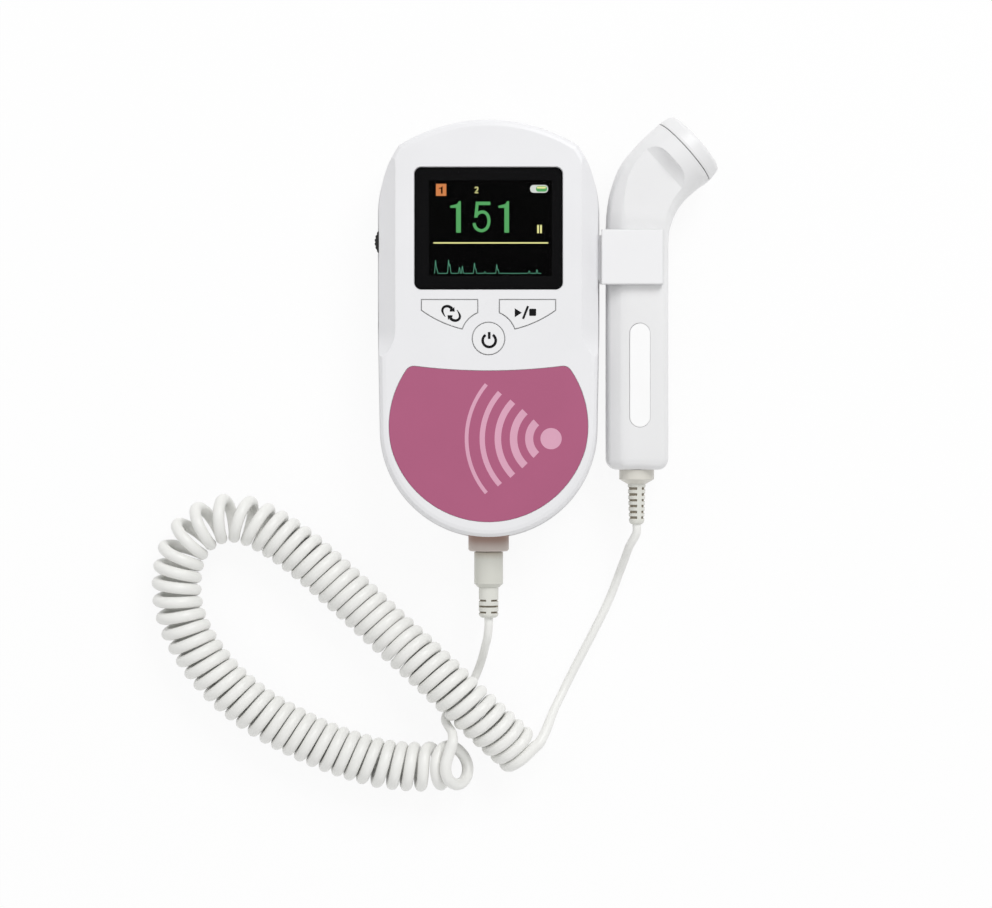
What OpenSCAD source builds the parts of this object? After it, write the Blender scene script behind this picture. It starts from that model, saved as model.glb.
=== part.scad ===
// Pocket heart-rate doppler with its hand probe in the side clip and a curly cord.
// Millimetres. The unit lies on its back: +Z comes out of the display, +Y is towards its top,
// and the origin is in the middle of the flat back.

/* [Body] */
// Widest part of the case
body_w = 72.2; // [70:0.1:78]
// Origin to the top of the case
body_top = 68.1; // [66:0.1:72]
// Origin to the bottom of the case
body_bottom = 67.3; // [66:0.1:70]
// Radius of the rounded bottom
bottom_r = 35.5; // [35:0.1:36]
// Radius of the arched top
top_arc_r = 55; // [50:0.1:70]
// Radius of the shoulders
shoulder_r = 38.3; // [37:0.1:42]
// Height above the origin where the shoulders begin
shoulder_y = 37.9; // [34:0.1:40]
// Thickness of the case
body_t = 28; // [27.5:0.1:30]
// Thickness of the rear cover, up to the joint
rear_t = 13; // [12.5:0.1:13.5]
// Wall of both covers
wall = 2.4; // [2:0.1:2.6]
// How far the front cover stands inside the rear one
step_in = 0.8; // [0.4:0.1:1]
// Radius of the front edge
front_round = 2.2; // [1.5:0.1:2.6]
// Radius of the back edge
rear_round = 5; // [3:0.1:5.5]
// Width of each slanted side facet
facet_w = 5.6; // [4:0.1:6]
// Depth of each slanted side facet
facet_d = 5.5; // [4:0.1:6]
// Corner where a facet runs out
facet_end_r = 12.2; // [9:0.1:15]

/* [Display] */
// Width of the black cover glass
lens_w = 47.5; // [46:0.1:50]
// Height of the black cover glass
lens_h = 39.2; // [38:0.1:41]
// Middle of the cover glass above the origin
lens_y = 32.3; // [31.6:0.1:34]
// Corner radius of the cover glass
lens_corner = 2.3; // [1:0.1:4]
// Thickness of the cover glass
lens_t = 1; // [0.8:0.1:1.2]
// Ledge that the cover glass rests on
lens_ledge = 2; // [1.5:0.1:2.5]
// Thickness of the display module
display_t = 4.2; // [3.6:0.1:4.4]

/* [Buttons] */
// Half the width taken by the two side buttons
key_reach = 21.6; // [20:0.1:24]
// Half the space between the two side buttons
key_inner = 3.3; // [2.5:0.1:4]
// Top edge of the side buttons
key_top = 9.6; // [9:0.1:10]
// Radius of the lower edge of the side buttons
key_sweep_r = 36.6; // [36.2:0.1:38]
// Radius of the hollow around the power button
key_hollow_r = 8.8; // [8.4:0.1:9.4]
// Radius of the power button's opening
power_r = 5.35; // [4.8:0.1:5.6]
// Middle of the power button
power_y = -3; // [-3.6:0.1:-2.6]
// Gap around a button
key_gap = 0.3; // [0.25:0.05:0.4]
// How far a button travels
key_travel = 0.6; // [0.4:0.1:0.8]
// How far a button stands proud
key_proud = 0.25; // [0.1:0.05:0.5]

/* [Front label] */
// Radius of the round label
label_r = 32.2; // [30:0.1:32.3]
// Middle of the label
label_y = -29.4; // [-30:0.1:-29]
// Radius of the label's upper half
label_upper_r = 31.8; // [31:0.1:32]
// Middle of the label's upper half
label_upper_y = -31; // [-31.4:0.1:-30.6]
// Top of the label at its middle
label_top = -13.3; // [-15:0.1:-12]
// Radius of the label's hollow top edge
label_top_r = 190; // [150:1:260]
// Thickness of the label
label_t = 0.4; // [0.2:0.1:0.6]

/* [Volume wheel] */
// Radius of the wheel
wheel_r = 6.2; // [6.1:0.1:7]
// Thickness of the wheel
wheel_t = 2.7; // [2:0.1:2.8]
// How far the wheel stands out of the side
wheel_proud = 0.9; // [0.6:0.1:1.3]
// Middle of the wheel above the origin
wheel_y = 28.9; // [26:0.1:31]

/* [Batteries] */
// Diameter of a cell
cell_d = 14.3; // [14:0.1:14.5]
// Length of a cell without its button
cell_l = 49.2; // [48.6:0.1:49.6]
// Half the width of the battery door
door_half_w = 26; // [24:0.1:27]
// Thickness of the battery door
door_t = 1.8; // [1.5:0.1:2]

/* [Probe] */
// Middle of the probe handle from the side of the case
probe_x = 12.1; // [11.5:0.1:13.1]
// Width of the handle
handle_w = 20; // [19:0.1:20.4]
// Depth of the handle
handle_d = 17; // [16:0.1:17]
// Lower end of the handle
handle_low = -45; // [-48:0.1:-42]
// Where the handle begins to bend
bend_y = 31; // [30.6:0.1:33]
// Radius of the bend's middle line
bend_r = 30; // [28:0.1:32]
// Angle that the head leans to the side
head_lean = 48; // [44:1:50]
// Length of the head from the bend to the cap
head_l = 7.3; // [7:0.1:11]
// Diameter of the head
head_d = 24.4; // [23:0.1:24.8]
// Depth of the cap on the head
cap_l = 5; // [4.6:0.1:6.4]
// Wall of the probe
probe_wall = 1.8; // [1.5:0.1:2]

/* [Probe clip] */
// Height of the clip along the body
clip_h = 17.6; // [14:0.1:19]
// Middle of the clip above the origin
clip_y = 23.4; // [22:0.1:24]
// How far the clip reaches from the side of the case
clip_reach = 20; // [14:0.1:21]
// Thickness of the clip's plates
clip_t = 2.4; // [2:0.1:2.5]
// Gap between the clip and the probe
clip_gap = 0.3; // [0.25:0.05:0.4]

/* [Cord] */
// Diameter of the wire in the curls
wire_d = 3.4; // [3:0.1:3.4]
// Radius of the wire's middle line in a curl
curl_r = 6.5; // [5.8:0.1:6.6]
// Number of curls
curls = 62; // [40:1:62]
// Diameter of the straight leads
lead_d = 2.8; // [2.4:0.1:3]
// Diameter of the socket collar
socket_d = 13.2; // [12.6:0.1:14]
// Diameter of the plug
plug_d = 9.4; // [9:0.1:10]
// Diameter of the plug's nose
nose_d = 8; // [7.4:0.1:8.2]
// Diameter of the collar on the probe's cable
collar_d = 11.3; // [10:0.1:12]

/* [Hidden] */
eps = 0.01;
far = 100;
running = 0.05;
slip = 0.1;
loose = 0.3;

// Case, worked out from the sizes above
half_w = body_w / 2;
bottom_y = bottom_r - body_bottom;
waist_y = 0;
shoulder_x = shoulder_r - half_w;
front_plate = wall;
plate_z = body_t - front_plate;
facet_x = half_w - step_in + 0.1 - facet_w;
facet_z = body_t - facet_d;
upper_cavity_x = facet_x - 0.8;
tongue_t = 1;
tongue_h = 1.5;
tongue_in = wall - 0.3;
rear_in = tongue_in + tongue_t + 0.3;
front_in = step_in + wall;
floor_t = 2.2;

// Battery bay
door_gap = 0.3;
door_recess = door_t + door_gap;
door_top = -3;
pad_t = 1.2;
cell_r = cell_d / 2;
cell_z = door_recess + 0.5 + cell_r;
cell_pitch = cell_d + 0.7;
bay_top_y = -5.2;
bay_h = 2 * cell_pitch + 0.6;
bay_mid = bay_top_y - bay_h / 2;
bay_half_w = cell_l / 2 + 3.8;
bay_wall = 1.2;
bay_roof = 0.8;
contact_w = 10;
contact_t = 0.5;
bay_top_z = cell_z + cell_r + 0.4;
rail_out = 1.2;
rail_z = [0.8, 1.5];

// Boards, screws and the pieces on the board
board_t = 1.6;
board_gap = 0.4;
board_z = bay_top_z + bay_roof + board_gap;
board_top = board_z + board_t;
upper_cavity_z = max(facet_z - 1.5, board_top + slip);
board_edge = 4.6;
board_end = 54;
boss_r = 4;
front_boss_r = 3.2;
function both_sides(p) = [[-p[0], p[1]], p];
function in_bottom(inset, angle) =
    [(bottom_r - inset) * cos(angle), bottom_y - (bottom_r - inset) * sin(angle)];
upper_screw_in = [10.6, 15.6];
lower_screw_angle = 44.6;
case_spots = concat(both_sides([half_w, body_top] - upper_screw_in),
    both_sides(in_bottom(rear_in + boss_r - 0.3, lower_screw_angle)));
board_spots = concat(both_sides([half_w - 8.6, body_top - 24.1]), both_sides(in_bottom(8.5, 22.2)));
screw_r = 1.25;
screw_head_r = 2.6;
head_sink = 3.6;
head_t = 1.6;
board_screw_r = 0.9;
board_boss_r = 2.5;
board_head_r = 1.9;
board_head_t = 1;
board_grip = 4;

// Display and buttons
window_w = lens_w - 2 * lens_ledge;
window_h = lens_h - 2 * lens_ledge;
lens_z = body_t - lens_t;
display_top = lens_z - 0.1;
display_z = display_top - display_t;
frame_rim = 3;
flange = 0.9;
flange_z = plate_z - loose - 0.9;
stem_z = flange_z - 0.15;
switch_w = 6;
switch_stem_r = 1.7;
switch_stem = 0.2;
switch_top = stem_z - key_travel - 0.35;
key_mid = [(key_reach + key_inner) / 2, 5];
key_sweep_y = key_sweep_r - 1.1;
label_corner = 3;

// Volume wheel
wheel_x = -(half_w + wheel_proud - wheel_r);
wheel_z = rear_t + 0.9;
spindle_r = 1.5;
pot_z = wheel_z + wheel_t + 0.3;

// Earphone jack
jack_y = 4;
jack_z = rear_t + 2.3;
jack_bore_r = 1.8;
jack_nose_r = 2.9;
jack_mouth = -(half_w - step_in);
jack_bore_l = 13;
jack_w = 6.2;
jack_low = 3;

// Speaker
speaker_y = 38;
speaker_r = 14;
grille_r = 0.9;
grille_step = 4;

// Socket and plug, on the joint plane
socket_z = rear_t;
socket_r = socket_d / 2;
socket_mouth = -(body_bottom + 4.2);
socket_floor = -58;
socket_back = -55;
nose_r = nose_d / 2;
nose_end = -60.3;
pin_ring = 2.2;
pin_r = 0.5;
plug_r = plug_d / 2;
plug_l = 11.8;
plug_end = socket_mouth - plug_l;
boot_r = 3.25;
boot_l = 10;
boot_end = plug_end - boot_l;

// Probe
probe_mid = half_w + probe_x;
mid_z = 14;
handle_half = handle_w / 2;
half_d = handle_d / 2;
front_z = mid_z + half_d;
handle_left = probe_mid - handle_half;
handle_right = probe_mid + handle_half;
flat_left = 5.4;
flat_right = 1.9;
bend_end = [probe_mid + bend_r * (1 - cos(head_lean)), bend_y + bend_r * sin(head_lean)];
head_axis = 90 - head_lean;
seam = bend_end + head_l * [cos(head_axis), sin(head_axis)];
head_r = head_d / 2;
cap_gap = 0.15;
crescent_from = 8.9;
crescent_to = 5;
head_room = crescent_to - 1;
name_w = 6.5;
name_l = 33.4;
name_x = probe_mid + 0.6;
name_y = -14.5;
name_t = 0.4;
name_sink = 0.5;
probe_board_w = 11;
probe_board_t = 1.2;
probe_board_low = 14;
probe_board_top = 14.6;
probe_board_up = 1.5;
probe_screw_spots = [handle_low + 8, bend_y - 8.6];
probe_screw_r = 1;
probe_screw_head_r = 2;
probe_screw_sink = 3;
probe_head_t = 1.3;
probe_post_r = 2.6;
probe_thread = 2.5;
collar_r = collar_d / 2;
collar_end = handle_low - 3.1;
sleeve_top = handle_low - 4.6;
sleeve_l = 13.2;
sleeve_end = sleeve_top - sleeve_l;
sleeve_r = 3;

// Clip
clip_in = half_w - 1.5;
clip_out = handle_left - clip_gap;
clip_web = 1.6;
clip_web_in = 1.6;
clip_front = front_z + clip_gap;
clip_back = mid_z - half_d - clip_gap - clip_t;
clip_screws = [-4.9, 4.9];
clip_screw_z = 9;
clip_screw_r = 0.95;
clip_boss_in = half_w - 7.6;

// Routes of the cord, as the middle line, from the plug to the probe
end_gap = 0.15;
plug_lead_points = [[0, boot_end - end_gap, socket_z], [0, boot_end - 2.6, socket_z - 0.05],
    [-0.4, -99.8, 11.2], [-1.2, -103.4, 7.4], [-2.2, -107.4, 3.8], [-3.7, -111.8, 1.9], [-5.9, -116.4, 2],
    [-8.7, -120.5, 1.6], [-12.5, -124, 3.2], [-14.3, -127.1, 7.7], [-12, -130.4, 14.6]];
coil_points = [[-9.2, -141.2, 14.4], [-11.9, -141.5, 11.8], [-15.2, -141.9, 9.9], [-19, -142.3, 8.8],
    [-23, -142.5, 8.5], [-30, -142.1, 8.45], [-38, -140.8, 8.45], [-52, -136.3, 8.45], [-64.5, -130.6, 8.45],
    [-76.5, -123.6, 8.45], [-87.5, -114.4, 8.45], [-96.1, -103.4, 8.45], [-101.2, -92.2, 8.45],
    [-102.3, -81, 8.45], [-99.7, -70.3, 8.45], [-92.9, -63.2, 8.45], [-84, -60.9, 8.45], [-75, -63.4, 8.45],
    [-62.8, -71.2, 8.45], [-48.3, -83.7, 8.6], [-33, -97.7, 9.6], [-20.4, -108.9, 11.6],
    [-9.4, -119.2, 12.5], [0.6, -128.6, 11.6], [10.6, -138, 9]];
probe_lead_points = [[19, -129.6, 11], [21, -125, 7.4], [23.4, -120.4, 4.2], [26.1, -115.2, 2.2],
    [29.4, -108.8, 1.6], [33.6, -100.8, 1.6], [37.6, -92.9, 1.6],
    [40.6, -86.2, 1.8], [42.8, -80, 3.6], [44.5, -74.8, 7.6], [46, -70, 11.8],
    [probe_mid - 0.1, sleeve_end - 3, mid_z - 0.1], [probe_mid, sleeve_end - end_gap, mid_z]];
curl_sides = 6;
curl_rings = 8;
lead_sides = 8;
first_phase = 62;
last_phase = 107;
bend_care = 1.1;

// ---------- Shared shapes ----------

// Outline of the case, drawn in by some distance
module outline(inset = 0) {
    union() {
        intersection() {
            translate([-shoulder_x, shoulder_y]) circle(r = shoulder_r - inset, $fn = 128);
            translate([shoulder_x, shoulder_y]) circle(r = shoulder_r - inset, $fn = 128);
            translate([0, body_top - top_arc_r]) circle(r = top_arc_r - inset, $fn = 192);
            translate([-half_w, shoulder_y - eps]) square([body_w, body_top - shoulder_y]);
        }
        polygon([[-(half_w - inset), shoulder_y], [half_w - inset, shoulder_y],
            [half_w - inset, waist_y], [bottom_r - inset, bottom_y],
            [-(bottom_r - inset), bottom_y], [-(half_w - inset), waist_y]]);
        translate([0, bottom_y]) circle(r = bottom_r - inset, $fn = 128);
    }
}

module slab(inset, z0, z1) {
    translate([0, 0, z0]) linear_extrude(z1 - z0) outline(inset);
}

// Solid of the front cover's outer face, with a rounded front edge and two slanted facets
module front_form() {
    difference() {
        hull() {
            slab(step_in, rear_t, body_t - front_round);
            for (a = [30, 60, 90])
                slab(step_in + front_round * (1 - cos(a)), body_t - front_round,
                    body_t - front_round * (1 - sin(a)));
        }
        for (side = [0, 1]) mirror([side, 0, 0]) facet_cut();
    }
}

// What is cut away for a facet: a long wedge whose lower end is a cone
module facet_cut() {
    over = 2;
    slope = facet_w / facet_d;
    end_x = facet_x + facet_end_r;
    rotate([90, 0, 0]) translate([0, 0, -far]) linear_extrude(far)
        polygon([[facet_x - over * slope, body_t + over], [facet_x + facet_w, facet_z],
            [end_x, facet_z], [end_x, body_t + over]]);
    translate([end_x, 0, facet_z])
        cylinder(r1 = facet_end_r - facet_w, r2 = facet_end_r + over * slope, h = facet_d + over, $fn = 96);
}

// Solid of the rear cover's outer face, with a rounded back edge
module rear_form() {
    hull() {
        for (a = [0, 22.5, 45, 67.5])
            slab(rear_round * (1 - sin(a)), rear_round * (1 - cos(a)), rear_round);
        slab(0, rear_round, rear_t);
    }
}

module rounded_plate(w, h, r, t) {
    linear_extrude(t) union() {
        square([w - 2 * r, h], center = true);
        square([w, h - 2 * r], center = true);
        for (x = [-1, 1], y = [-1, 1]) translate([x * (w / 2 - r), y * (h / 2 - r)]) circle(r = r, $fn = 48);
    }
}

module spots(list) {
    for (p = list) translate([p[0], p[1], 0]) children();
}

// Cylinder from x0 to x1, y0 to y1 or z0 to z1
module rod_x(x0, x1, r) {
    translate([x0, 0, 0]) rotate([0, 90, 0]) cylinder(r = r, h = x1 - x0, $fn = 64);
}

module rod_y(y0, y1, r1, r2) {
    translate([0, y0, 0]) rotate([-90, 0, 0]) cylinder(r1 = r1, r2 = r2, h = y1 - y0, $fn = 64);
}

module rod_z(z0, z1, r) {
    translate([0, 0, z0]) cylinder(r = r, h = z1 - z0, $fn = 64);
}

module box(low, high) {
    translate(low) cube(high - low);
}

// Openings that both covers share where a piece crosses their joint
module shared_openings() {
    translate([0, 0, socket_z]) rod_y(-far, -body_bottom + 8, socket_r + running, socket_r + running);
    translate([0, jack_y, jack_z]) rod_x(-far, -half_w + 6, jack_nose_r + 0.2);
    translate([wheel_x, wheel_y, 0]) rod_z(wheel_z - loose, wheel_z + wheel_t + loose, wheel_r + 0.4);
    box([clip_in - slip, clip_y - clip_h / 2 + clip_web_in - slip, clip_back - slip],
        [far, clip_y + clip_h / 2 - clip_web_in + slip, facet_z - 0.4]);
}

// ---------- Case ----------

module front_cavity() {
    slab(front_in, rear_t - 1, upper_cavity_z);
    intersection() {
        slab(front_in, upper_cavity_z - eps, plate_z);
        box([-upper_cavity_x, -far, 0], [upper_cavity_x, far, far]);
    }
}

module front_cover() {
    color("white") difference() {
        union() {
            difference() {
                front_form();
                front_cavity();
                slab(tongue_in - 0.1, rear_t - 1, rear_t + tongue_h + 0.2);
            }
            spots(case_spots) rod_z(rear_t + 0.1, plate_z + 1, front_boss_r);
            spots(board_spots) rod_z(board_top, plate_z + 1, board_boss_r);
        }
        shared_openings();
        spots(case_spots) rod_z(rear_t, plate_z - 2, screw_r + running);
        spots(board_spots) rod_z(board_top - 1, board_top + board_grip + 0.4, board_screw_r + running);
        translate([0, lens_y, lens_z]) rounded_plate(lens_w + 2 * slip, lens_h + 2 * slip, lens_corner, 5);
        translate([0, lens_y, plate_z - 1]) rounded_plate(window_w, window_h, 1, 5);
        translate([0, 0, plate_z - 1]) linear_extrude(5) {
            key_shape(0);
            mirror([1, 0]) key_shape(0);
        }
        translate([0, power_y, 0]) rod_z(plate_z - 1, far, power_r);
        translate([0, 0, body_t - label_t]) linear_extrude(5) label_shape(-slip);
    }
}

module rear_cover() {
    color("white") difference() {
        union() {
            difference() {
                rear_form();
                slab(rear_in, floor_t, far);
            }
            difference() {
                slab(tongue_in, rear_t - eps, rear_t + tongue_h);
                slab(tongue_in + tongue_t, 0, far);
            }
            intersection() {
                slab(rear_in - eps, door_recess, door_recess + pad_t);
                box([-bay_half_w - bay_wall, -far, 0], [bay_half_w + bay_wall, door_top + 2, far]);
            }
            battery_bay_walls();
            spots(case_spots) rod_z(floor_t - 1, rear_t, boss_r);
            intersection() {
                slab(rear_in - eps, floor_t, rear_t - 0.4);
                box([clip_boss_in, clip_y - clip_h / 2, 5], [half_w, clip_y + clip_h / 2, rear_t - 0.4]);
            }
            translate([0, speaker_y, 0]) difference() {
                rod_z(floor_t - eps, floor_t + 3, speaker_r + 1.5);
                rod_z(0, far, speaker_r + 0.3);
            }
        }
        shared_openings();
        spots(case_spots) {
            rod_z(-1, head_sink + head_t, screw_head_r + 0.2);
            rod_z(0, rear_t + 1, screw_r + 0.25);
        }
        box([-bay_half_w, bay_top_y - bay_h, -1], [bay_half_w, bay_top_y, bay_top_z]);
        door_room();
        translate([0, speaker_y, 0]) grille();
        for (dy = clip_screws) translate([0, clip_y + dy, clip_screw_z])
            rod_x(clip_boss_in + 1.5, half_w, clip_screw_r + running);
    }
}

module battery_bay_walls() {
    low_y = bay_top_y - bay_h - bay_wall;
    box([-bay_half_w - bay_wall, low_y, door_recess],
        [bay_half_w + bay_wall, bay_top_y + bay_wall, bay_top_z + bay_roof]);
}

// Room for the sliding door and its two rails
module door_room() {
    box([-door_half_w - door_gap, -far, -1], [door_half_w + door_gap, door_top + door_gap, door_recess]);
    box([-door_half_w - rail_out - door_gap, -far, rail_z[0] - door_gap],
        [door_half_w + rail_out + door_gap, door_top - 2 + door_gap, rail_z[1] + door_gap]);
}

module battery_door() {
    grips = 5;
    color("white") difference() {
        intersection() {
            rear_form();
            union() {
                box([-door_half_w, -far, 0], [door_half_w, door_top, door_t]);
                box([-door_half_w - rail_out, bottom_y - 12, rail_z[0]],
                    [door_half_w + rail_out, door_top - 2, rail_z[1]]);
            }
        }
        for (i = [0:grips - 1])
            box([-7 + i * 0.9, door_top - 6 - i * 2, -1], [7 - i * 0.9, door_top - 5 - i * 2, 0.5]);
    }
}

module grille() {
    rod_z(-1, floor_t + 1, grille_r);
    for (ring = [1, 2], i = [0:6 * ring - 1])
        rotate(i * 60 / ring) translate([ring * grille_step, 0, 0]) rod_z(-1, floor_t + 1, grille_r);
}

module case_screw() {
    difference() {
        union() {
            rod_z(head_sink, head_sink + head_t, screw_head_r);
            rod_z(head_sink, rear_t + 6, screw_r);
        }
        for (a = [0, 90]) rotate(a)
            box([-1.5, -0.35, head_sink - 1], [1.5, 0.35, head_sink + 0.8]);
    }
}

module case_screws() {
    color("silver") spots(case_spots) case_screw();
}

// ---------- Display and buttons ----------

module display_lens() {
    color("black") translate([0, lens_y, lens_z]) rounded_plate(lens_w, lens_h, lens_corner, lens_t);
}

module display_module() {
    color("dimgray") translate([0, lens_y, display_z])
        rounded_plate(window_w - 2 * slip, window_h - 2 * slip, 0.8, display_t);
}

module display_frame() {
    color("black") translate([0, lens_y, board_top]) difference() {
        rounded_plate(window_w - 1, window_h - 1, 0.8, display_z - board_top);
        translate([0, 0, -1])
            rounded_plate(window_w - 1 - 2 * frame_rim, window_h - 1 - 2 * frame_rim, 0.8, far);
    }
}

// Right-hand side button, drawn in by some gap
module key_shape(gap) {
    difference() {
        intersection() {
            translate([key_inner + gap, -4]) square([key_reach - key_inner - 2 * gap, key_top + 4 - gap]);
            translate([0, key_sweep_y]) circle(r = key_sweep_r - gap, $fn = 192);
        }
        translate([0, power_y]) circle(r = key_hollow_r + gap, $fn = 96);
    }
}

module side_button() {
    translate([0, 0, flange_z + 0.4]) linear_extrude(body_t + key_proud - flange_z - 0.4) key_shape(key_gap);
    translate([0, 0, flange_z]) linear_extrude(0.9) key_shape(-flange + key_gap);
    translate([key_mid[0], key_mid[1], 0]) rod_z(stem_z, flange_z + 0.5, 2);
}

module start_stop_button() {
    color("white") side_button();
}

module mode_button() {
    color("white") mirror([1, 0, 0]) side_button();
}

module power_button() {
    color("white") translate([0, power_y, 0]) {
        rod_z(flange_z, body_t + key_proud, power_r - key_gap);
        rod_z(flange_z, flange_z + 0.9, power_r + flange);
        rod_z(stem_z, flange_z + 0.5, 2);
    }
}

module tact_switch() {
    box([-switch_w / 2, -switch_w / 2, board_top], [switch_w / 2, switch_w / 2, switch_top - switch_stem]);
    rod_z(board_top + 0.5, switch_top, switch_stem_r);
}

module tact_switches() {
    color("dimgray") {
        for (side = [-1, 1]) translate([side * key_mid[0], key_mid[1], 0]) tact_switch();
        translate([0, power_y, 0]) tact_switch();
    }
}

// Label on the lower half of the front: round, with a hollow top edge and two soft corners
module label_shape(gap) {
    offset(r = label_corner, $fn = 48) offset(delta = -label_corner) difference() {
        intersection() {
            translate([0, label_y]) circle(r = label_r - gap, $fn = 128);
            translate([0, label_upper_y]) circle(r = label_upper_r - gap, $fn = 128);
        }
        translate([0, label_top + label_top_r]) circle(r = label_top_r + gap, $fn = 512);
    }
}

module front_label() {
    color("palevioletred") translate([0, 0, body_t - label_t]) linear_extrude(label_t) label_shape(0);
}

// ---------- Boards and electric pieces ----------

module main_board() {
    color("darkgreen") difference() {
        intersection() {
            slab(board_edge, board_z, board_top);
            box([-far, -board_end, 0], [far, board_end, far]);
        }
        spots(case_spots) rod_z(0, far, front_boss_r + 0.4);
        spots(board_spots) rod_z(0, far, board_screw_r + 0.2);
    }
}

module board_screws() {
    color("silver") spots(board_spots) difference() {
        union() {
            rod_z(board_z - board_head_t, board_z, board_head_r);
            rod_z(board_z - board_head_t / 2, board_top + board_grip, board_screw_r);
        }
        box([-1.2, -0.3, board_z - 2 * board_head_t], [1.2, 0.3, board_z - board_head_t / 2]);
    }
}

module speaker() {
    color("gray") translate([0, speaker_y, 0]) {
        difference() {
            rod_z(floor_t + 0.1, floor_t + 2.3, speaker_r);
            rod_z(0, floor_t + 1, speaker_r - 2);
        }
        rod_z(floor_t + 2, floor_t + 6, speaker_r / 2);
    }
}

module volume_wheel() {
    notches = 30;
    color("dimgray") translate([wheel_x, wheel_y, 0]) difference() {
        rod_z(wheel_z, wheel_z + wheel_t, wheel_r);
        rod_z(0, far, spindle_r);
        for (i = [0:notches - 1]) rotate(i * 360 / notches) translate([wheel_r + 0.1, 0, 0])
            rod_z(0, far, 0.35);
    }
}

module volume_spindle() {
    color("silver") translate([wheel_x, wheel_y, 0]) rod_z(wheel_z, board_z - 0.2, spindle_r);
}

module volume_potentiometer() {
    color("dimgray") translate([wheel_x, wheel_y, 0]) difference() {
        box([-1.7, -4, pot_z], [5.5, 4, board_z]);
        rod_z(0, far, spindle_r + running);
    }
}

module earphone_jack() {
    color("dimgray") translate([0, jack_y, jack_z]) difference() {
        union() {
            box([jack_mouth + 2.6, -jack_w / 2, -jack_low],
                [jack_mouth + jack_bore_l + 1.5, jack_w / 2, board_z - jack_z]);
            rod_x(jack_mouth, jack_mouth + 3, jack_nose_r);
        }
        rod_x(jack_mouth - 1, jack_mouth + jack_bore_l, jack_bore_r);
    }
}

module pin_places() {
    for (i = [0:3]) rotate([0, 45 + i * 90, 0]) translate([pin_ring, 0, 0]) children();
}

module probe_socket() {
    rim = 0.5;
    color("tan") translate([0, 0, socket_z]) difference() {
        union() {
            rod_y(socket_mouth, socket_mouth + rim, socket_r - rim, socket_r);
            rod_y(socket_mouth + rim, -body_bottom + 6.5, socket_r, socket_r);
            rod_y(-body_bottom + 4.9, -body_bottom + 6.5, socket_r + 1, socket_r + 1);
            rod_y(-body_bottom + 6, socket_back, socket_r - 0.9, socket_r - 0.9);
        }
        rod_y(socket_mouth - 1, socket_floor, nose_r + slip, nose_r + slip);
        pin_places() rod_y(socket_floor - 1, socket_back - 0.4, pin_r + slip, pin_r + slip);
    }
}

// ---------- Batteries ----------

module cell(y) {
    button_l = 1.3;
    color("steelblue") translate([0, y, cell_z]) {
        rod_x(-cell_l / 2 - 0.6, cell_l / 2 - 0.6, cell_r);
        rod_x(cell_l / 2 - 0.7, cell_l / 2 - 0.6 + button_l, 2.7);
    }
}

module battery_upper() {
    cell(bay_mid + cell_pitch / 2);
}

module battery_lower() {
    mirror([1, 0, 0]) cell(bay_mid - cell_pitch / 2);
}

// Both cells in place, with the first turned end for end
module at_cells() {
    for (side = [0, 1]) mirror([side, 0, 0])
        translate([0, bay_mid + (side == 0 ? 0.5 : -0.5) * cell_pitch, cell_z]) children();
}

spring_turns = 3;
spring_wire = 0.8;
function spring_path() = [for (i = [0:spring_turns * 8])
    [bay_half_w - 0.5 - i * (bay_half_w - 0.9 - cell_l / 2 - 0.6) / (spring_turns * 8),
        (4.2 - i * 0.06) * cos(i * 45), (4.2 - i * 0.06) * sin(i * 45)]];

module battery_springs() {
    path = spring_path();
    color("silver") at_cells() mirror([1, 0, 0])
        tube(path, [for (p = path) unit([0, p[1], p[2]])], spring_wire / 2, curl_sides);
}

module battery_contacts() {
    color("silver") at_cells()
        box([bay_half_w - 0.1 - contact_t, -contact_w / 2, -contact_w / 2],
            [bay_half_w - 0.1, contact_w / 2, contact_w / 2]);
}

// ---------- Probe clip ----------

module probe_holder() {
    low = [clip_y - clip_h / 2, clip_y - clip_h / 2 + clip_web_in];
    high = [clip_y + clip_h / 2, clip_y + clip_h / 2 - clip_web_in];
    color("white") difference() {
        union() {
            box([clip_in, low[1], clip_back], [clip_out, high[1], facet_z - 0.6]);
            box([clip_out - clip_web, low[1], facet_z - 1], [clip_out, high[1], clip_front + clip_t]);
            box([clip_out - clip_web, low[0], clip_front],
                [half_w + clip_reach, high[0], clip_front + clip_t]);
            box([clip_in, low[1], clip_back], [half_w + clip_reach, high[1], clip_back + clip_t]);
        }
        for (dy = clip_screws) translate([0, clip_y + dy, clip_screw_z]) {
            rod_x(clip_in - 1, far, clip_screw_r + 0.1);
            rod_x(clip_out - 1, far, 2);
        }
    }
}

module holder_screws() {
    color("silver") for (dy = clip_screws) translate([0, clip_y + dy, clip_screw_z]) difference() {
        union() {
            rod_x(clip_boss_in + 2, clip_out - 1, clip_screw_r);
            rod_x(clip_out - 1, clip_out - 0.1, 1.9);
        }
        box([clip_out - 0.5, -1.2, -0.3], [clip_out + 1, 1.2, 0.3]);
    }
}

// ---------- Probe ----------

// Cross-section of the handle, seen from below, with wide soft edges
module handle_section(inset = 0) {
    w = handle_half - inset;
    d = half_d - inset;
    polygon([[-w, -d + 3.6], [-w + flat_left, -d], [w - flat_right, -d], [w, -d + 1.9],
        [w, d - 1.9], [w - flat_right, d], [-w + flat_left, d], [-w, d - 3.6]]);
}

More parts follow.
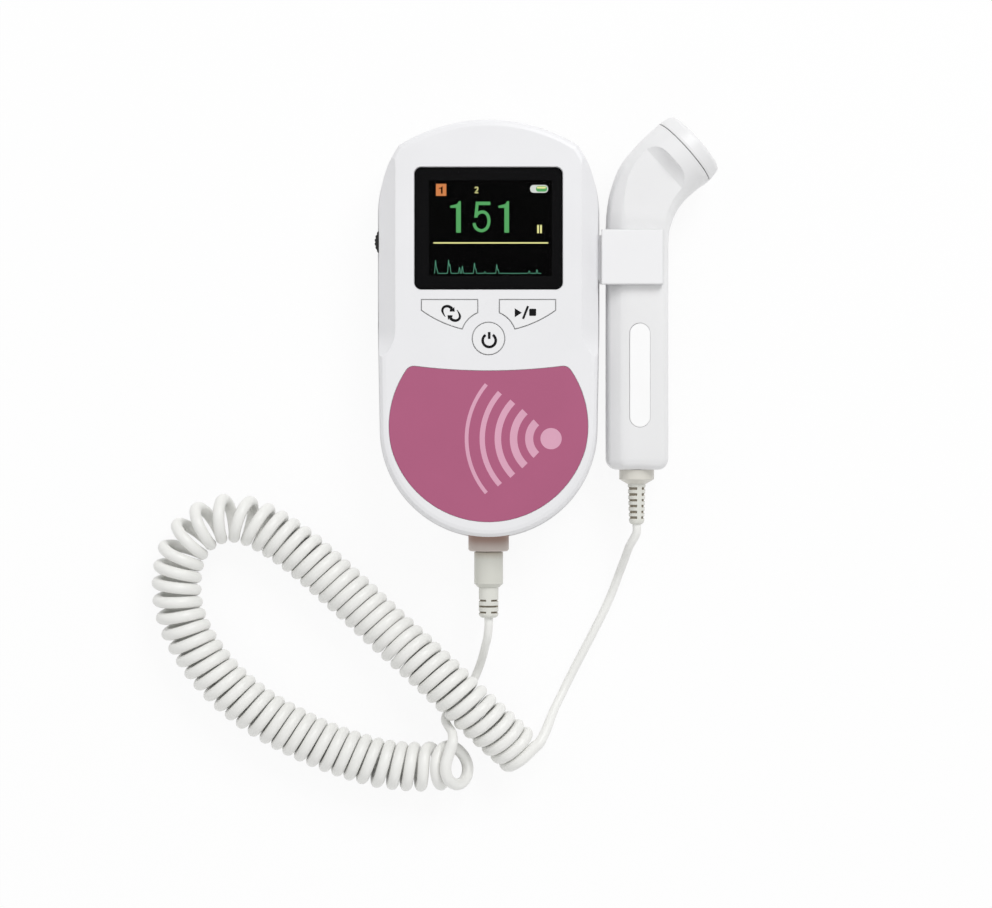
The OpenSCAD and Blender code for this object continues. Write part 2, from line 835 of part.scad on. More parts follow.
// A thin slice of the handle at some angle round the bend, widening towards the head
module handle_slice(angle) {
    share = angle / head_lean;
    // the inner side of the bend swells earlier than the outer one
    early = 1 - (1 - share) * (1 - share);
    swell = head_r - handle_half;
    grow = [1 + (share + early) / 2 * swell / handle_half, 1 + share * (head_d / handle_d - 1)];
    translate([probe_mid + bend_r * (1 - cos(angle)), bend_y + bend_r * sin(angle), mid_z])
        rotate([90, 0, -angle]) linear_extrude(eps)
            translate([(early - share) / 2 * swell, 0]) intersection() {
            scale(grow) handle_section(0);
            circle(r = handle_half + 1.2 + (head_r - handle_half - 1.2) * share, $fn = 64);
        }
}

module handle_form() {
    hull() {
        translate([probe_mid, bend_y, mid_z]) rotate([90, 0, 0])
            linear_extrude(bend_y - handle_low - 5) handle_section(0);
        for (p = [[1.5, 1.4], [5, 5]])
            translate([probe_mid, handle_low + 5 - p[1] + eps, mid_z]) rotate([90, 0, 0])
                linear_extrude(eps) handle_section(p[0] * p[0] / 8);
    }
    steps = 4;
    for (i = [0:steps - 1]) hull() {
        handle_slice(i * head_lean / steps);
        handle_slice((i + 1) * head_lean / steps);
    }
}

// Puts a shape on the head's axis, with +Z out of the probe and zero at the seam
module at_head() {
    translate([seam[0], seam[1], mid_z]) rotate([0, 0, head_axis]) rotate([0, 90, 0]) children();
}

module probe_form() {
    difference() {
        union() {
            handle_form();
            at_head() rod_z(-head_l - 0.6, 0, head_r);
        }
        // the handle's flat front and back run on into the head, and end in a sloped step
        for (side = [0, 1]) translate([0, 0, mid_z]) mirror([0, 0, side]) translate([0, 0, -mid_z])
            translate([seam[0], seam[1], 0]) rotate([0, 0, head_axis])
                rotate([90, 0, 0]) translate([0, 0, -far / 2]) linear_extrude(far)
                    polygon([[-far / 2, front_z], [-crescent_from, front_z],
                        [-crescent_to, mid_z + head_r], [-crescent_to, far], [-far / 2, far]]);
    }
}

module probe_hollow() {
    inner = half_d - probe_wall;
    box([handle_left + 3.6, handle_low + 3, mid_z - inner + 1],
        [handle_right - 3.6, bend_y, mid_z + inner - 1]);
    translate([probe_mid + bend_r, bend_y - eps, mid_z]) rotate([0, 0, 180 - head_lean])
        rotate_extrude(angle = head_lean, $fn = 60) translate([bend_r, 0]) circle(r = inner - 1, $fn = 24);
    at_head() rod_z(-head_room, 1, head_r - probe_wall);
    at_head() rod_z(-head_l - 1, 1, inner - 1.5);
    translate([probe_mid, 0, mid_z]) rod_y(handle_low - 1, handle_low + 4, 3.2, 3.2);
}

// Two posts inside the handle take the screws that hold its halves
module probe_posts() {
    for (y = probe_screw_spots) translate([probe_mid, y, 0])
        rod_z(mid_z - half_d + 1, mid_z + half_d - 1, probe_post_r);
}

module probe_half(front) {
    difference() {
        intersection() {
            union() {
                difference() {
                    probe_form();
                    probe_hollow();
                }
                probe_posts();
            }
            box([0, -far, front ? mid_z : 0], [far, far, front ? far : mid_z]);
        }
        translate([name_x, name_y, front_z - name_sink]) linear_extrude(5) name_shape(slip);
        for (y = probe_screw_spots) translate([probe_mid, y, 0]) {
            rod_z(0, mid_z - half_d + probe_screw_sink, probe_screw_head_r + slip);
            rod_z(0, mid_z + half_d - probe_thread, probe_screw_r + running);
        }
    }
}

module probe_front_shell() {
    color("white") probe_half(true);
}

module probe_rear_shell() {
    color("white") probe_half(false);
}

module probe_screws() {
    sink = probe_screw_sink;
    color("silver") for (y = probe_screw_spots) translate([probe_mid, y, mid_z - half_d]) difference() {
        union() {
            rod_z(sink - probe_head_t, sink, probe_screw_head_r);
            rod_z(sink - 0.5, handle_d - probe_thread - 0.5, probe_screw_r);
        }
        box([-1.3, -0.3, 0], [1.3, 0.3, sink - 0.7]);
    }
}

module name_shape(gap) {
    hull() for (side = [-1, 1])
        translate([0, side * (name_l - name_w) / 2]) circle(r = name_w / 2 + gap, $fn = 48);
}

module probe_label() {
    color("white") translate([name_x, name_y, front_z - name_sink]) linear_extrude(name_t) name_shape(0);
}

module probe_cap() {
    face_r = head_r - 0.5;
    lip = 1.2;
    color("white") at_head() rotate_extrude($fn = 128) polygon([[head_r - probe_wall, cap_gap],
        [head_r, cap_gap], [head_r, 1], [face_r, cap_l - lip], [face_r - lip / 3, cap_l - lip / 3],
        [face_r - lip, cap_l], [face_r - lip - 1.4, cap_l], [face_r - lip - 1.4, cap_l - 1.6],
        [head_r - probe_wall, cap_l - 1.6]]);
}

module acoustic_lens() {
    r = head_r - 0.5 - 1.2 - 1.4;
    color("gainsboro") at_head() union() {
        rod_z(cap_l - 1.6, cap_l - 0.2, r);
        translate([0, 0, cap_l - 0.2]) cylinder(r1 = r, r2 = r - 1.2, h = 0.2, $fn = 96);
    }
}

// Half a disc, the shape of a crystal
module half_disc(side, r, z0, z1) {
    intersection() {
        rod_z(z0, z1, r);
        box([-far, side > 0 ? 0.4 : -far, -far], [far, side > 0 ? far : -0.4, far]);
    }
}

module transmit_crystal() {
    color("khaki") at_head() half_disc(1, head_r - 3.2, cap_l - 2.7, cap_l - 1.7);
}

module receive_crystal() {
    color("khaki") at_head() half_disc(-1, head_r - 3.2, cap_l - 2.7, cap_l - 1.7);
}

module crystal_backing() {
    color("gray") at_head() rod_z(0.5 - head_room, cap_l - 2.8, head_r - probe_wall - 0.2);
}

module probe_board() {
    color("darkgreen")
        box([probe_mid - probe_board_w / 2, handle_low + probe_board_low, mid_z + probe_board_up],
            [probe_mid + probe_board_w / 2, bend_y - probe_board_top,
                mid_z + probe_board_up + probe_board_t]);
}

// ---------- Cord ends ----------

module cable_collar() {
    color("ivory") translate([probe_mid, 0, mid_z]) difference() {
        union() {
            rod_y(collar_end, handle_low, collar_r, collar_r);
            rod_y(sleeve_top, collar_end, sleeve_r + 0.1, collar_r);
            rod_y(handle_low - 1, handle_low + 3.5, 3.1, 3.1);
        }
        rod_y(handle_low - 3, handle_low + 4, lead_d / 2, lead_d / 2);
    }
}

// Strain relief: a tapered sleeve with rows of slots, split by ribs at the front and the back
module slotted_sleeve(top, end, r0, r1, rows, first, step, whole) {
    body_l = top - end;
    difference() {
        union() {
            rod_y(end + 1.9, top, r0 + (r1 - r0) * (body_l - 1.9) / body_l, r0);
            rod_y(end, end + 1.9, lead_d / 2 + 0.5, r0 + (r1 - r0) * (body_l - 1.9) / body_l);
        }
        for (i = [0:rows - 1]) translate([0, top - first - i * step, 0]) difference() {
            rod_y(-0.3, 0.3, r0 + 1, r0 + 1);
            rod_y(-1, 1, lead_d / 2 + 0.3, lead_d / 2 + 0.3);
            if (i != whole) box([-0.85, -1, -r0 - 2], [0.85, 1, r0 + 2]);
        }
    }
}

module probe_boot() {
    color("ivory") translate([probe_mid, 0, mid_z])
        slotted_sleeve(sleeve_top, sleeve_end, sleeve_r, sleeve_r - 0.65, 6, 1.9, 1.85, -1);
}

module plug_body() {
    chamfer = 1.2;
    color("ivory") translate([0, 0, socket_z]) {
        rod_y(socket_mouth - 1, nose_end, nose_r, nose_r);
        rod_y(plug_end + chamfer, socket_mouth - loose, plug_r, plug_r);
        rod_y(plug_end, plug_end + chamfer, plug_r - chamfer, plug_r);
    }
}

module plug_pins() {
    color("gold") translate([0, 0, socket_z]) pin_places() rod_y(nose_end, nose_end + 3.8, pin_r, pin_r);
}

module plug_boot() {
    color("ivory") translate([0, 0, socket_z])
        slotted_sleeve(plug_end, boot_end, boot_r, boot_r, 3, 3.6, 1.95, 1);
}

// ---------- Cord ----------

function unit(v) = v / norm(v);
function last(list) = list[len(list) - 1];
function total(list, i = 0) = i == len(list) ? 0 : list[i] + total(list, i + 1);

// A point of the smooth curve through four neighbours, between the middle two
function curve_point(a, b, c, d, t) = 0.5 * (2 * b + (c - a) * t + (2 * a - 5 * b + 4 * c - d) * t * t
    + (3 * b - a - 3 * c + d) * t * t * t);

function curve(points, steps) = [
    for (i = [0:len(points) - 2], k = [0:steps - 1])
        curve_point(points[max(i - 1, 0)], points[i], points[i + 1],
            points[min(i + 2, len(points) - 1)], k / steps),
    last(points)];

function heading(points, i) = unit(points[min(i + 1, len(points) - 1)] - points[max(i - 1, 0)]);

function running_sum(steps) =
    [for (i = 0, s = 0; i <= len(steps); s = s + (i < len(steps) ? steps[i] : 0), i = i + 1) s];

// Middle line of the coil, with the length gone and the turn reached at each point.
// Curls stand wider apart where the line bends, so that they stay clear on its inner side.
coil_line = curve(coil_points, 12);
coil_steps = [for (i = [0:len(coil_line) - 2]) norm(coil_line[i + 1] - coil_line[i])];
coil_bend = [for (i = [0:len(coil_line) - 2])
    norm(heading(coil_line, i + 1) - heading(coil_line, i)) / coil_steps[i]];
coil_tight = [for (i = [0:len(coil_steps) - 1])
    coil_steps[i] * max(1 - bend_care * curl_r * (coil_bend[max(i - 3, 0)] + coil_bend[max(i - 1, 0)]
        + coil_bend[i] + coil_bend[min(i + 2, len(coil_steps) - 1)]) / 4, 0.2)];
coil_turn = running_sum(coil_tight);
turn_table = [for (i = [0:len(coil_line) - 1]) [coil_turn[i] / last(coil_turn), i]];

function along(list, at) = let (i = min(floor(at), len(list) - 2))
    list[i] + (at - i) * (list[i + 1] - list[i]);

coil_count = curls * curl_rings + round((last_phase - first_phase) / 360 * curl_rings);
function coil_at(j) = lookup(j / coil_count, turn_table);
function coil_way(at) =
    unit(along(coil_line, min(at + 0.5, len(coil_line) - 1)) - along(coil_line, max(at - 0.5, 0)));
function coil_side(at) = let (w = coil_way(at)) unit([-w[1], w[0], 0]);
function coil_out(j) = let (at = coil_at(j), side = coil_side(at),
        phase = first_phase + j * 360 / curl_rings)
    -cos(phase) * side + sin(phase) * cross(coil_way(at), side);
coil_arms = [for (j = [0:coil_count]) coil_out(j)];
coil_curls = [for (j = [0:coil_count]) along(coil_line, coil_at(j)) + curl_r * coil_arms[j]];
function coil_heading(j) = let (at = coil_at(j), side = coil_side(at),
        phase = first_phase + j * 360 / curl_rings)
    unit(sin(phase) * side + cos(phase) * cross(coil_way(at), side) + 0.1 * coil_way(at));
coil_start = coil_curls[0] - wire_d * coil_heading(0);
coil_end = last(coil_curls) + wire_d * coil_heading(coil_count);
coil_path = concat([coil_start], coil_curls, [coil_end]);
coil_path_arms = concat([coil_arms[0]], coil_arms, [last(coil_arms)]);

// Least gap between two curls, measured between the points of the wire's middle line
function least_gap(path, apart) = min([for (i = [0:len(path) - 1 - apart], j = [i + apart:len(path) - 1])
    norm(path[i] - path[j])]) - wire_d;
function path_length(path) = total([for (i = [0:len(path) - 2]) norm(path[i + 1] - path[i])]);

// One unbroken tube along a path. arms gives, at each point, a direction across the path.
module tube(path, arms, r, sides) {
    n = len(path);
    rings = [for (i = [0:n - 1]) let (t = heading(path, i), a = unit(arms[i] - (arms[i] * t) * t),
        b = cross(t, a))
        for (k = [0:sides - 1]) path[i] + r * (cos(k * 360 / sides) * a + sin(k * 360 / sides) * b)];
    skin = [for (i = [0:n - 2], k = [0:sides - 1]) let (m = (k + 1) % sides)
        each [[i * sides + k, (i + 1) * sides + k, (i + 1) * sides + m],
            [i * sides + k, (i + 1) * sides + m, i * sides + m]]];
    start = [for (k = [1:sides - 2]) [0, k, k + 1]];
    end = [for (k = [1:sides - 2]) [(n - 1) * sides, (n - 1) * sides + k + 1, (n - 1) * sides + k]];
    polyhedron(points = rings, faces = concat(skin, start, end));
}

module lead(points) {
    path = curve(points, 2);
    color("ivory") tube(path,
        [for (i = [0:len(path) - 1]) let (t = heading(path, i)) unit([t[1], -t[0], 0])],
        lead_d / 2, lead_sides);
}

module plug_lead() {
    way = unit(coil_curls[0] - coil_start);
    points = concat(plug_lead_points, [coil_start - 2.6 * way, coil_start - end_gap * way]);
    echo(plug_lead_length = path_length(points));
    lead(points);
}

module coiled_cord() {
    echo(coil_least_gap = least_gap(coil_path, curl_rings - 3), coil_wire_length = path_length(coil_path));
    color("ivory") tube(coil_path, coil_path_arms, wire_d / 2, curl_sides);
}

module probe_lead() {
    way = unit(coil_end - last(coil_curls));
    points = concat([coil_end + end_gap * way, coil_end + 2.4 * way], probe_lead_points);
    echo(probe_lead_length = path_length(points));
    lead(points);
}

// ---------- Pieces ----------

front_cover();
rear_cover();
display_lens();
display_module();
display_frame();
front_label();
mode_button();
start_stop_button();
power_button();
tact_switches();
main_board();
board_screws();
case_screws();
speaker();
volume_wheel();
volume_spindle();
volume_potentiometer();
earphone_jack();
probe_socket();
battery_door();
battery_upper();
battery_lower();
battery_springs();
battery_contacts();
probe_holder();
holder_screws();
probe_front_shell();
probe_rear_shell();
probe_cap();
acoustic_lens();
transmit_crystal();
receive_crystal();
crystal_backing();
probe_board();
probe_label();
probe_screws();
cable_collar();
probe_boot();
plug_body();
plug_pins();
plug_boot();
plug_lead();
coiled_cord();
probe_lead();
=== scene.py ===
"""The looks of a pocket heart-rate doppler with its probe and curly cord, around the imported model."""
import math

import bmesh
import bpy
import numpy as np
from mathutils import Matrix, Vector


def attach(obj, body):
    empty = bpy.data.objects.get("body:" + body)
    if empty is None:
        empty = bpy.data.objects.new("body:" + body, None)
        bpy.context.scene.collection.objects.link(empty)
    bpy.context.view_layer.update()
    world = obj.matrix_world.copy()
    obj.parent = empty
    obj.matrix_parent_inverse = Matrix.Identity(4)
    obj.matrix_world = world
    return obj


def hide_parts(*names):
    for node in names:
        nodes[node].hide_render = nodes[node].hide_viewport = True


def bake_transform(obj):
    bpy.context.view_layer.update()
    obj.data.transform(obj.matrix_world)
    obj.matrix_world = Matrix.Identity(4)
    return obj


MM = 0.001
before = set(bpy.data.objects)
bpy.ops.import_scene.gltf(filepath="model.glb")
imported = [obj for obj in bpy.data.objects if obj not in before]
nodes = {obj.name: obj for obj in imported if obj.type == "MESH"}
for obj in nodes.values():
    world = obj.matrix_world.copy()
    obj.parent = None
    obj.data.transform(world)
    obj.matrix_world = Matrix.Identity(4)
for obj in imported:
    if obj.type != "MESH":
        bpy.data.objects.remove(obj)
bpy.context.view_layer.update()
scene = bpy.context.scene
scene.view_settings.view_transform = "Standard"

# ---------- Sizes repeated from the part's source, in millimetres and degrees ----------

BODY_T = 28.0
PROBE_X = 48.2
HANDLE_HALF = 10.0
HALF_D = 8.5
HANDLE_LOW = -45.0
MID_Z = 14.0
BEND_Y = 31.0
BEND_R = 30.0
LEAN = 48.0
HEAD_L = 7.3
HEAD_R = 12.2
CRESCENT_FROM = 9.3
CRESCENT_TO = 5.5
CRESCENT_CREASE = 52
END_ROUND = 3.7
FLAT_LEFT, FLAT_RIGHT = 5.4, 1.9
CURLS, LEAD_D = 62, 2.8
PLUG_LEAD = [(0, -93.3, 13), (0, -95.9, 12.95), (-0.4, -99.8, 11.2), (-1.2, -103.4, 7.4),
             (-2.2, -107.4, 3.8), (-3.7, -111.8, 1.9), (-5.9, -116.4, 2), (-8.7, -120.5, 1.6),
             (-12.5, -124, 3.2), (-14.3, -127.1, 7.7), (-12, -130.4, 14.6)]
COIL = [(-9.2, -141.2, 14.4), (-11.9, -141.5, 11.8), (-15.2, -141.9, 9.9), (-19, -142.3, 8.8),
        (-23, -142.5, 8.5), (-30, -142.1, 8.45), (-38, -140.8, 8.45), (-52, -136.3, 8.45),
        (-64.5, -130.6, 8.45), (-76.5, -123.6, 8.45), (-87.5, -114.4, 8.45), (-96.1, -103.4, 8.45),
        (-101.2, -92.2, 8.45), (-102.3, -81, 8.45), (-99.7, -70.3, 8.45), (-92.9, -63.2, 8.45),
        (-84, -60.9, 8.45), (-75, -63.4, 8.45), (-62.8, -71.2, 8.45), (-48.3, -83.7, 8.6),
        (-33, -97.7, 9.6), (-20.4, -108.9, 11.6), (-9.4, -119.2, 12.5), (0.6, -128.6, 11.6),
        (10.6, -138, 9)]
PROBE_LEAD = [(19, -129.6, 11), (21, -125, 7.4), (23.4, -120.4, 4.2), (26.1, -115.2, 2.2),
              (29.4, -108.8, 1.6), (33.6, -100.8, 1.6), (37.6, -92.9, 1.6), (40.6, -86.2, 1.8),
              (42.8, -80, 3.6), (44.5, -74.8, 7.6), (46, -70, 11.8), (48.1, -65.8, 13.9),
              (48.2, -62.8, 14)]

# ---------- Camera, straight above the unit, and the picture's scale on one level ----------

SCALE_Z = 24
MM_PER_PIXEL = 0.3214
PICTURE_W = 318.8
ORIGIN_PX, ORIGIN_PY = 488.5, 330
CAMERA_X = 2.4
CAMERA_Y = -39.9
CAMERA_Z = 773
SENSOR_W = 36

camera = bpy.data.cameras.new("camera")
camera.sensor_width = SENSOR_W
camera.lens = SENSOR_W * (CAMERA_Z - SCALE_Z) / PICTURE_W
camera_object = bpy.data.objects.new("camera", camera)
camera_object.location = (CAMERA_X * MM, CAMERA_Y * MM, CAMERA_Z * MM)
scene.collection.objects.link(camera_object)
scene.camera = camera_object


# ---------- Materials ----------

COAT_ROUGHNESS = 0.12
RELIEF_DEPTH = 0.0002
BEVEL_SAMPLES = 6
LEAST_ROUGHNESS = 0.02
CLOUD_DETAIL = 4
GRAIN_DETAIL = 3
CLOUD_FROM = 0.3
CLOUD_TO = 0.7


def material(name, color, roughness=0.4, vary=0.03, grain=900, bump=0.02, metallic=0.0, coat=0.0,
             specular=0.5, edge=0.25, alpha=1.0, clouds=60, emission=None, rough_vary=0.05):
    """Moulded or painted surface: faint colour clouds, fine grain in bump and roughness, soft edges.

    The soft edge is in millimetres, and emission is a colour with its strength behind it.
    """
    mat = bpy.data.materials.new(name)
    mat.use_nodes = True
    tree = mat.node_tree
    new, link = tree.nodes.new, tree.links.new
    shader = tree.nodes["Principled BSDF"]
    shader.inputs["Metallic"].default_value = metallic
    shader.inputs["Coat Weight"].default_value = coat
    shader.inputs["Coat Roughness"].default_value = COAT_ROUGHNESS
    shader.inputs["Specular IOR Level"].default_value = specular
    shader.inputs["Alpha"].default_value = alpha
    if emission:
        shader.inputs["Emission Color"].default_value = (*emission[:3], 1)
        shader.inputs["Emission Strength"].default_value = emission[3]
    place = new("ShaderNodeTexCoord")
    cloud = new("ShaderNodeTexNoise")
    cloud.inputs["Scale"].default_value = clouds
    cloud.inputs["Detail"].default_value = CLOUD_DETAIL
    link(place.outputs["Object"], cloud.inputs["Vector"])
    ramp = new("ShaderNodeValToRGB")
    darker, lighter = ramp.color_ramp.elements
    darker.position = CLOUD_FROM
    lighter.position = CLOUD_TO
    darker.color = (*[c * (1 - vary) for c in color], 1)
    lighter.color = (*[min(1, c * (1 + vary)) for c in color], 1)
    link(cloud.outputs["Fac"], ramp.inputs["Fac"])
    link(ramp.outputs["Color"], shader.inputs["Base Color"])
    fine = new("ShaderNodeTexNoise")
    fine.inputs["Scale"].default_value = grain
    fine.inputs["Detail"].default_value = GRAIN_DETAIL
    link(place.outputs["Object"], fine.inputs["Vector"])
    rough = new("ShaderNodeMapRange")
    rough.inputs["To Min"].default_value = max(LEAST_ROUGHNESS, roughness - rough_vary)
    rough.inputs["To Max"].default_value = min(1, roughness + rough_vary)
    link(fine.outputs["Fac"], rough.inputs["Value"])
    link(rough.outputs["Result"], shader.inputs["Roughness"])
    relief = new("ShaderNodeBump")
    relief.inputs["Strength"].default_value = bump
    relief.inputs["Distance"].default_value = RELIEF_DEPTH
    link(fine.outputs["Fac"], relief.inputs["Height"])
    if edge:
        bevel = new("ShaderNodeBevel")
        bevel.samples = BEVEL_SAMPLES
        bevel.inputs["Radius"].default_value = edge * MM
        link(bevel.outputs["Normal"], relief.inputs["Normal"])
    link(relief.outputs["Normal"], shader.inputs["Normal"])
    return mat


CASE = material("case_white", (0.81, 0.81, 0.825), 0.38, vary=0.012, bump=0.03, edge=0.35)
RIM = material("rim_white", (0.78, 0.78, 0.785), 0.42, vary=0.015, bump=0.04, edge=0.3)
KEY = material("key_white", (0.82, 0.82, 0.83), 0.35, vary=0.01, bump=0.02, edge=0.3)
CLIP = material("clip_white", (0.84, 0.84, 0.85), 0.36, vary=0.01, bump=0.02, edge=0.9)
PROBE = material("probe_white", (0.80, 0.80, 0.805), 0.33, vary=0.012, bump=0.02, edge=0.4)
PLATE = material("plate_white", (0.93, 0.93, 0.93), 0.45, vary=0.01, bump=0.02, edge=0.15)
IVORY = material("ivory", (0.70, 0.68, 0.62), 0.4, vary=0.03, bump=0.05, edge=0.25)
CORD = material("cord_ivory", (0.84, 0.84, 0.815), 0.38, vary=0.02, bump=0.06, edge=0.0, clouds=30)
SLEEVE = material("sleeve_ivory", (0.71, 0.71, 0.66), 0.42, vary=0.02, bump=0.05, edge=0.12)
# Painted shade inside the slots of the sleeves.
GROOVE_SHADE = material("sleeve_groove_shade", (0.42, 0.38, 0.31), 0.7, vary=0.1, bump=0.05, edge=0.0)
# Painted shade in the seam of the probe and in the gaps round the buttons.
SEAM_SHADE = material("seam_shade_grey", (0.45, 0.45, 0.45), 0.6, vary=0.1, bump=0.0, edge=0.0)
SOCKET = material("socket_tan", (0.56, 0.49, 0.45), 0.45, vary=0.03, bump=0.05, edge=0.25)
PLUG = material("plug_ivory", (0.635, 0.635, 0.58), 0.4, vary=0.03, bump=0.05, edge=0.25)
BLACK = material("black_plastic", (0.012, 0.012, 0.012), 0.45, vary=0.1, bump=0.08)
GLASS = material("cover_glass", (0.003, 0.003, 0.003), 0.07, vary=0.0, bump=0.0, specular=0.1, edge=0.25,
                 alpha=0.10, rough_vary=0.01)
PRINT = material("bezel_print", (0.004, 0.004, 0.0045), 0.5, vary=0.05, bump=0.0, specular=0.05, edge=0.0)
PANEL = material("panel_black", (0.0006, 0.0006, 0.0006), 0.5, vary=0.0, bump=0.0, specular=0.02, edge=0.0)
PINK = material("label_pink", (0.400, 0.093, 0.192), 0.5, vary=0.02, bump=0.05, grain=1500, edge=0.1)
PALE_PINK = material("print_pale_pink", (0.67, 0.345, 0.47), 0.5, vary=0.03, bump=0.03, edge=0.0)
INK = material("icon_ink", (0.008, 0.008, 0.009), 0.6, vary=0.1, bump=0.0, edge=0.0, specular=0.08)
BOARD = material("board_green", (0.015, 0.09, 0.04), 0.35, vary=0.2, bump=0.1, clouds=200)
STEEL = material("steel", (0.55, 0.55, 0.56), 0.3, vary=0.06, bump=0.05, metallic=1.0)
GOLD = material("gold", (0.75, 0.5, 0.16), 0.25, vary=0.05, bump=0.02, metallic=1.0)
CELL = material("cell_wrap", (0.03, 0.10, 0.22), 0.25, vary=0.06, bump=0.02, coat=0.4)
CERAMIC = material("ceramic", (0.5, 0.42, 0.26), 0.6, vary=0.08, bump=0.1)
FACE = material("probe_face", (0.6, 0.6, 0.59), 0.3, vary=0.03, bump=0.04)
GREEN = material("lit_green", (0.01, 0.05, 0.02), 0.5, emission=(0.13, 0.50, 0.16, 0.85), specular=0.0,
                 bump=0.0, edge=0.0, vary=0.1)
DIM_GREEN = material("lit_trace", (0.01, 0.04, 0.03), 0.5, emission=(0.13, 0.42, 0.27, 0.8), specular=0.0,
                     bump=0.0, edge=0.0, vary=0.1)
AMBER = material("lit_amber", (0.05, 0.02, 0.0), 0.5, emission=(0.86, 0.30, 0.11, 0.85), specular=0.0,
                 bump=0.0, edge=0.0, vary=0.1)
YELLOW = material("lit_yellow", (0.05, 0.05, 0.0), 0.5, emission=(1.0, 0.98, 0.42, 0.95), specular=0.0,
                  bump=0.0, edge=0.0, vary=0.1)
LIT_WHITE = material("lit_white", (0.1, 0.1, 0.1), 0.5, emission=(0.85, 0.9, 0.85, 0.85), specular=0.0,
                     bump=0.0, edge=0.0, vary=0.05)


def paint_shade_along_y(mat, dark, y_dark, y_plain):
    """Painted shade: blends a surface's colour to a darker one towards one end, in millimetres along Y."""
    tree = mat.node_tree
    new, link = tree.nodes.new, tree.links.new
    shader = tree.nodes["Principled BSDF"]
    plain = shader.inputs["Base Color"].links[0].from_socket
    place = new("ShaderNodeTexCoord")
    split = new("ShaderNodeSeparateXYZ")
    link(place.outputs["Object"], split.inputs[0])
    share = new("ShaderNodeMapRange")
    share.interpolation_type = "SMOOTHSTEP"
    share.inputs["From Min"].default_value = y_dark * MM
    share.inputs["From Max"].default_value = y_plain * MM
    link(split.outputs["Y"], share.inputs["Value"])
    mix = new("ShaderNodeMix")
    mix.data_type = "RGBA"
    mix.inputs["A"].default_value = (*dark, 1)
    link(share.outputs["Result"], mix.inputs["Factor"])
    link(plain, mix.inputs["B"])
    link(mix.outputs["Result"], shader.inputs["Base Color"])


# Painted shade: the socket darkens towards the case above it, and the plug towards the socket.
paint_shade_along_y(SOCKET, dark=(0.34, 0.22, 0.18), y_dark=-67.2, y_plain=-70.8)
paint_shade_along_y(PLUG, dark=(0.49, 0.45, 0.38), y_dark=-71.6, y_plain=-74.6)

LOOKS = {
    "front_cover": CASE, "rear_cover": RIM, "battery_door": RIM, "mode_button": KEY,
    "start_stop_button": KEY, "power_button": KEY, "probe_holder": CLIP, "display_lens": GLASS,
    "display_module": PANEL, "display_frame": BLACK, "front_label": PINK, "tact_switches": BLACK,
    "main_board": BOARD, "probe_board": BOARD, "board_screws": STEEL, "case_screws": STEEL,
    "holder_screws": STEEL, "probe_screws": STEEL, "speaker": BLACK, "volume_wheel": BLACK,
    "volume_spindle": STEEL, "volume_potentiometer": BLACK, "earphone_jack": BLACK,
    "probe_socket": SOCKET, "battery_upper": CELL, "battery_lower": CELL, "battery_springs": STEEL,
    "battery_contacts": STEEL, "probe_front_shell": PROBE, "probe_rear_shell": PROBE,
    "probe_cap": PROBE, "acoustic_lens": FACE, "transmit_crystal": CERAMIC, "receive_crystal": CERAMIC,
    "crystal_backing": BLACK, "probe_label": PLATE, "cable_collar": IVORY, "probe_boot": IVORY,
    "plug_body": PLUG, "plug_pins": GOLD, "plug_boot": IVORY, "plug_lead": CORD, "coiled_cord": CORD,
    "probe_lead": CORD,
}


SHARP_ANGLE = 35
ROUND_ANGLE = 60
SKIN_ANGLE = 14
FACE_WEIGHT = 80


def smooth(obj, angle=SHARP_ANGLE):
    """Smooth shading that leaves every edge that is sharper than the angle, in degrees, sharp."""
    mesh = obj.data
    mesh.polygons.foreach_set("use_smooth", [True] * len(mesh.polygons))
    work = bmesh.new()
    work.from_mesh(mesh)
    limit = math.radians(angle)
    sharp = [e.index for e in work.edges if len(e.link_faces) == 2 and e.calc_face_angle(0) > limit]
    work.free()
    marks = [False] * len(mesh.edges)
    for i in sharp:
        marks[i] = True
    mesh.edges.foreach_set("use_edge_sharp", marks)


for name, obj in nodes.items():
    obj.data.materials.clear()
    obj.data.materials.append(LOOKS[name])
    smooth(obj)
    weigh = obj.modifiers.new("even_shading", "WEIGHTED_NORMAL")
    weigh.keep_sharp = True
    weigh.weight = FACE_WEIGHT


# ---------- Mesh helpers, in millimetres ----------

def piece(name, points, faces, mat, body, soft=True, angle=SHARP_ANGLE):
    """Mesh from points and faces, with its material, and on its body where that is given."""
    mesh = bpy.data.meshes.new(name)
    mesh.from_pydata([Vector(p) * MM for p in points], [], faces)
    work = bmesh.new()
    work.from_mesh(mesh)
    bmesh.ops.recalc_face_normals(work, faces=work.faces)
    work.to_mesh(mesh)
    work.free()
    obj = bpy.data.objects.new(name, mesh)
    scene.collection.objects.link(obj)
    mesh.materials.append(mat)
    if soft:
        smooth(obj, angle)
    if body:
        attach(obj, body)
    return obj


def plates(name, shapes, z0, z1, mat, body):
    """Flat shapes, each an outline of (x, y) with no hole, raised from z0 to z1."""
    points, faces = [], []
    for shape in shapes:
        n, base = len(shape), len(points)
        points += [(x, y, z0) for x, y in shape] + [(x, y, z1) for x, y in shape]
        area = sum(p[0] * q[1] - q[0] * p[1] for p, q in zip(shape, shape[1:] + shape[:1]))
        order = list(range(n)) if area > 0 else list(range(n - 1, -1, -1))
        faces.append([base + n + i for i in order])
        faces.append([base + i for i in reversed(order)])
        for k in range(n):
            a, b = order[k], order[(k + 1) % n]
            faces.append([base + a, base + b, base + n + b, base + n + a])
    return piece(name, points, faces, mat, body, soft=False)


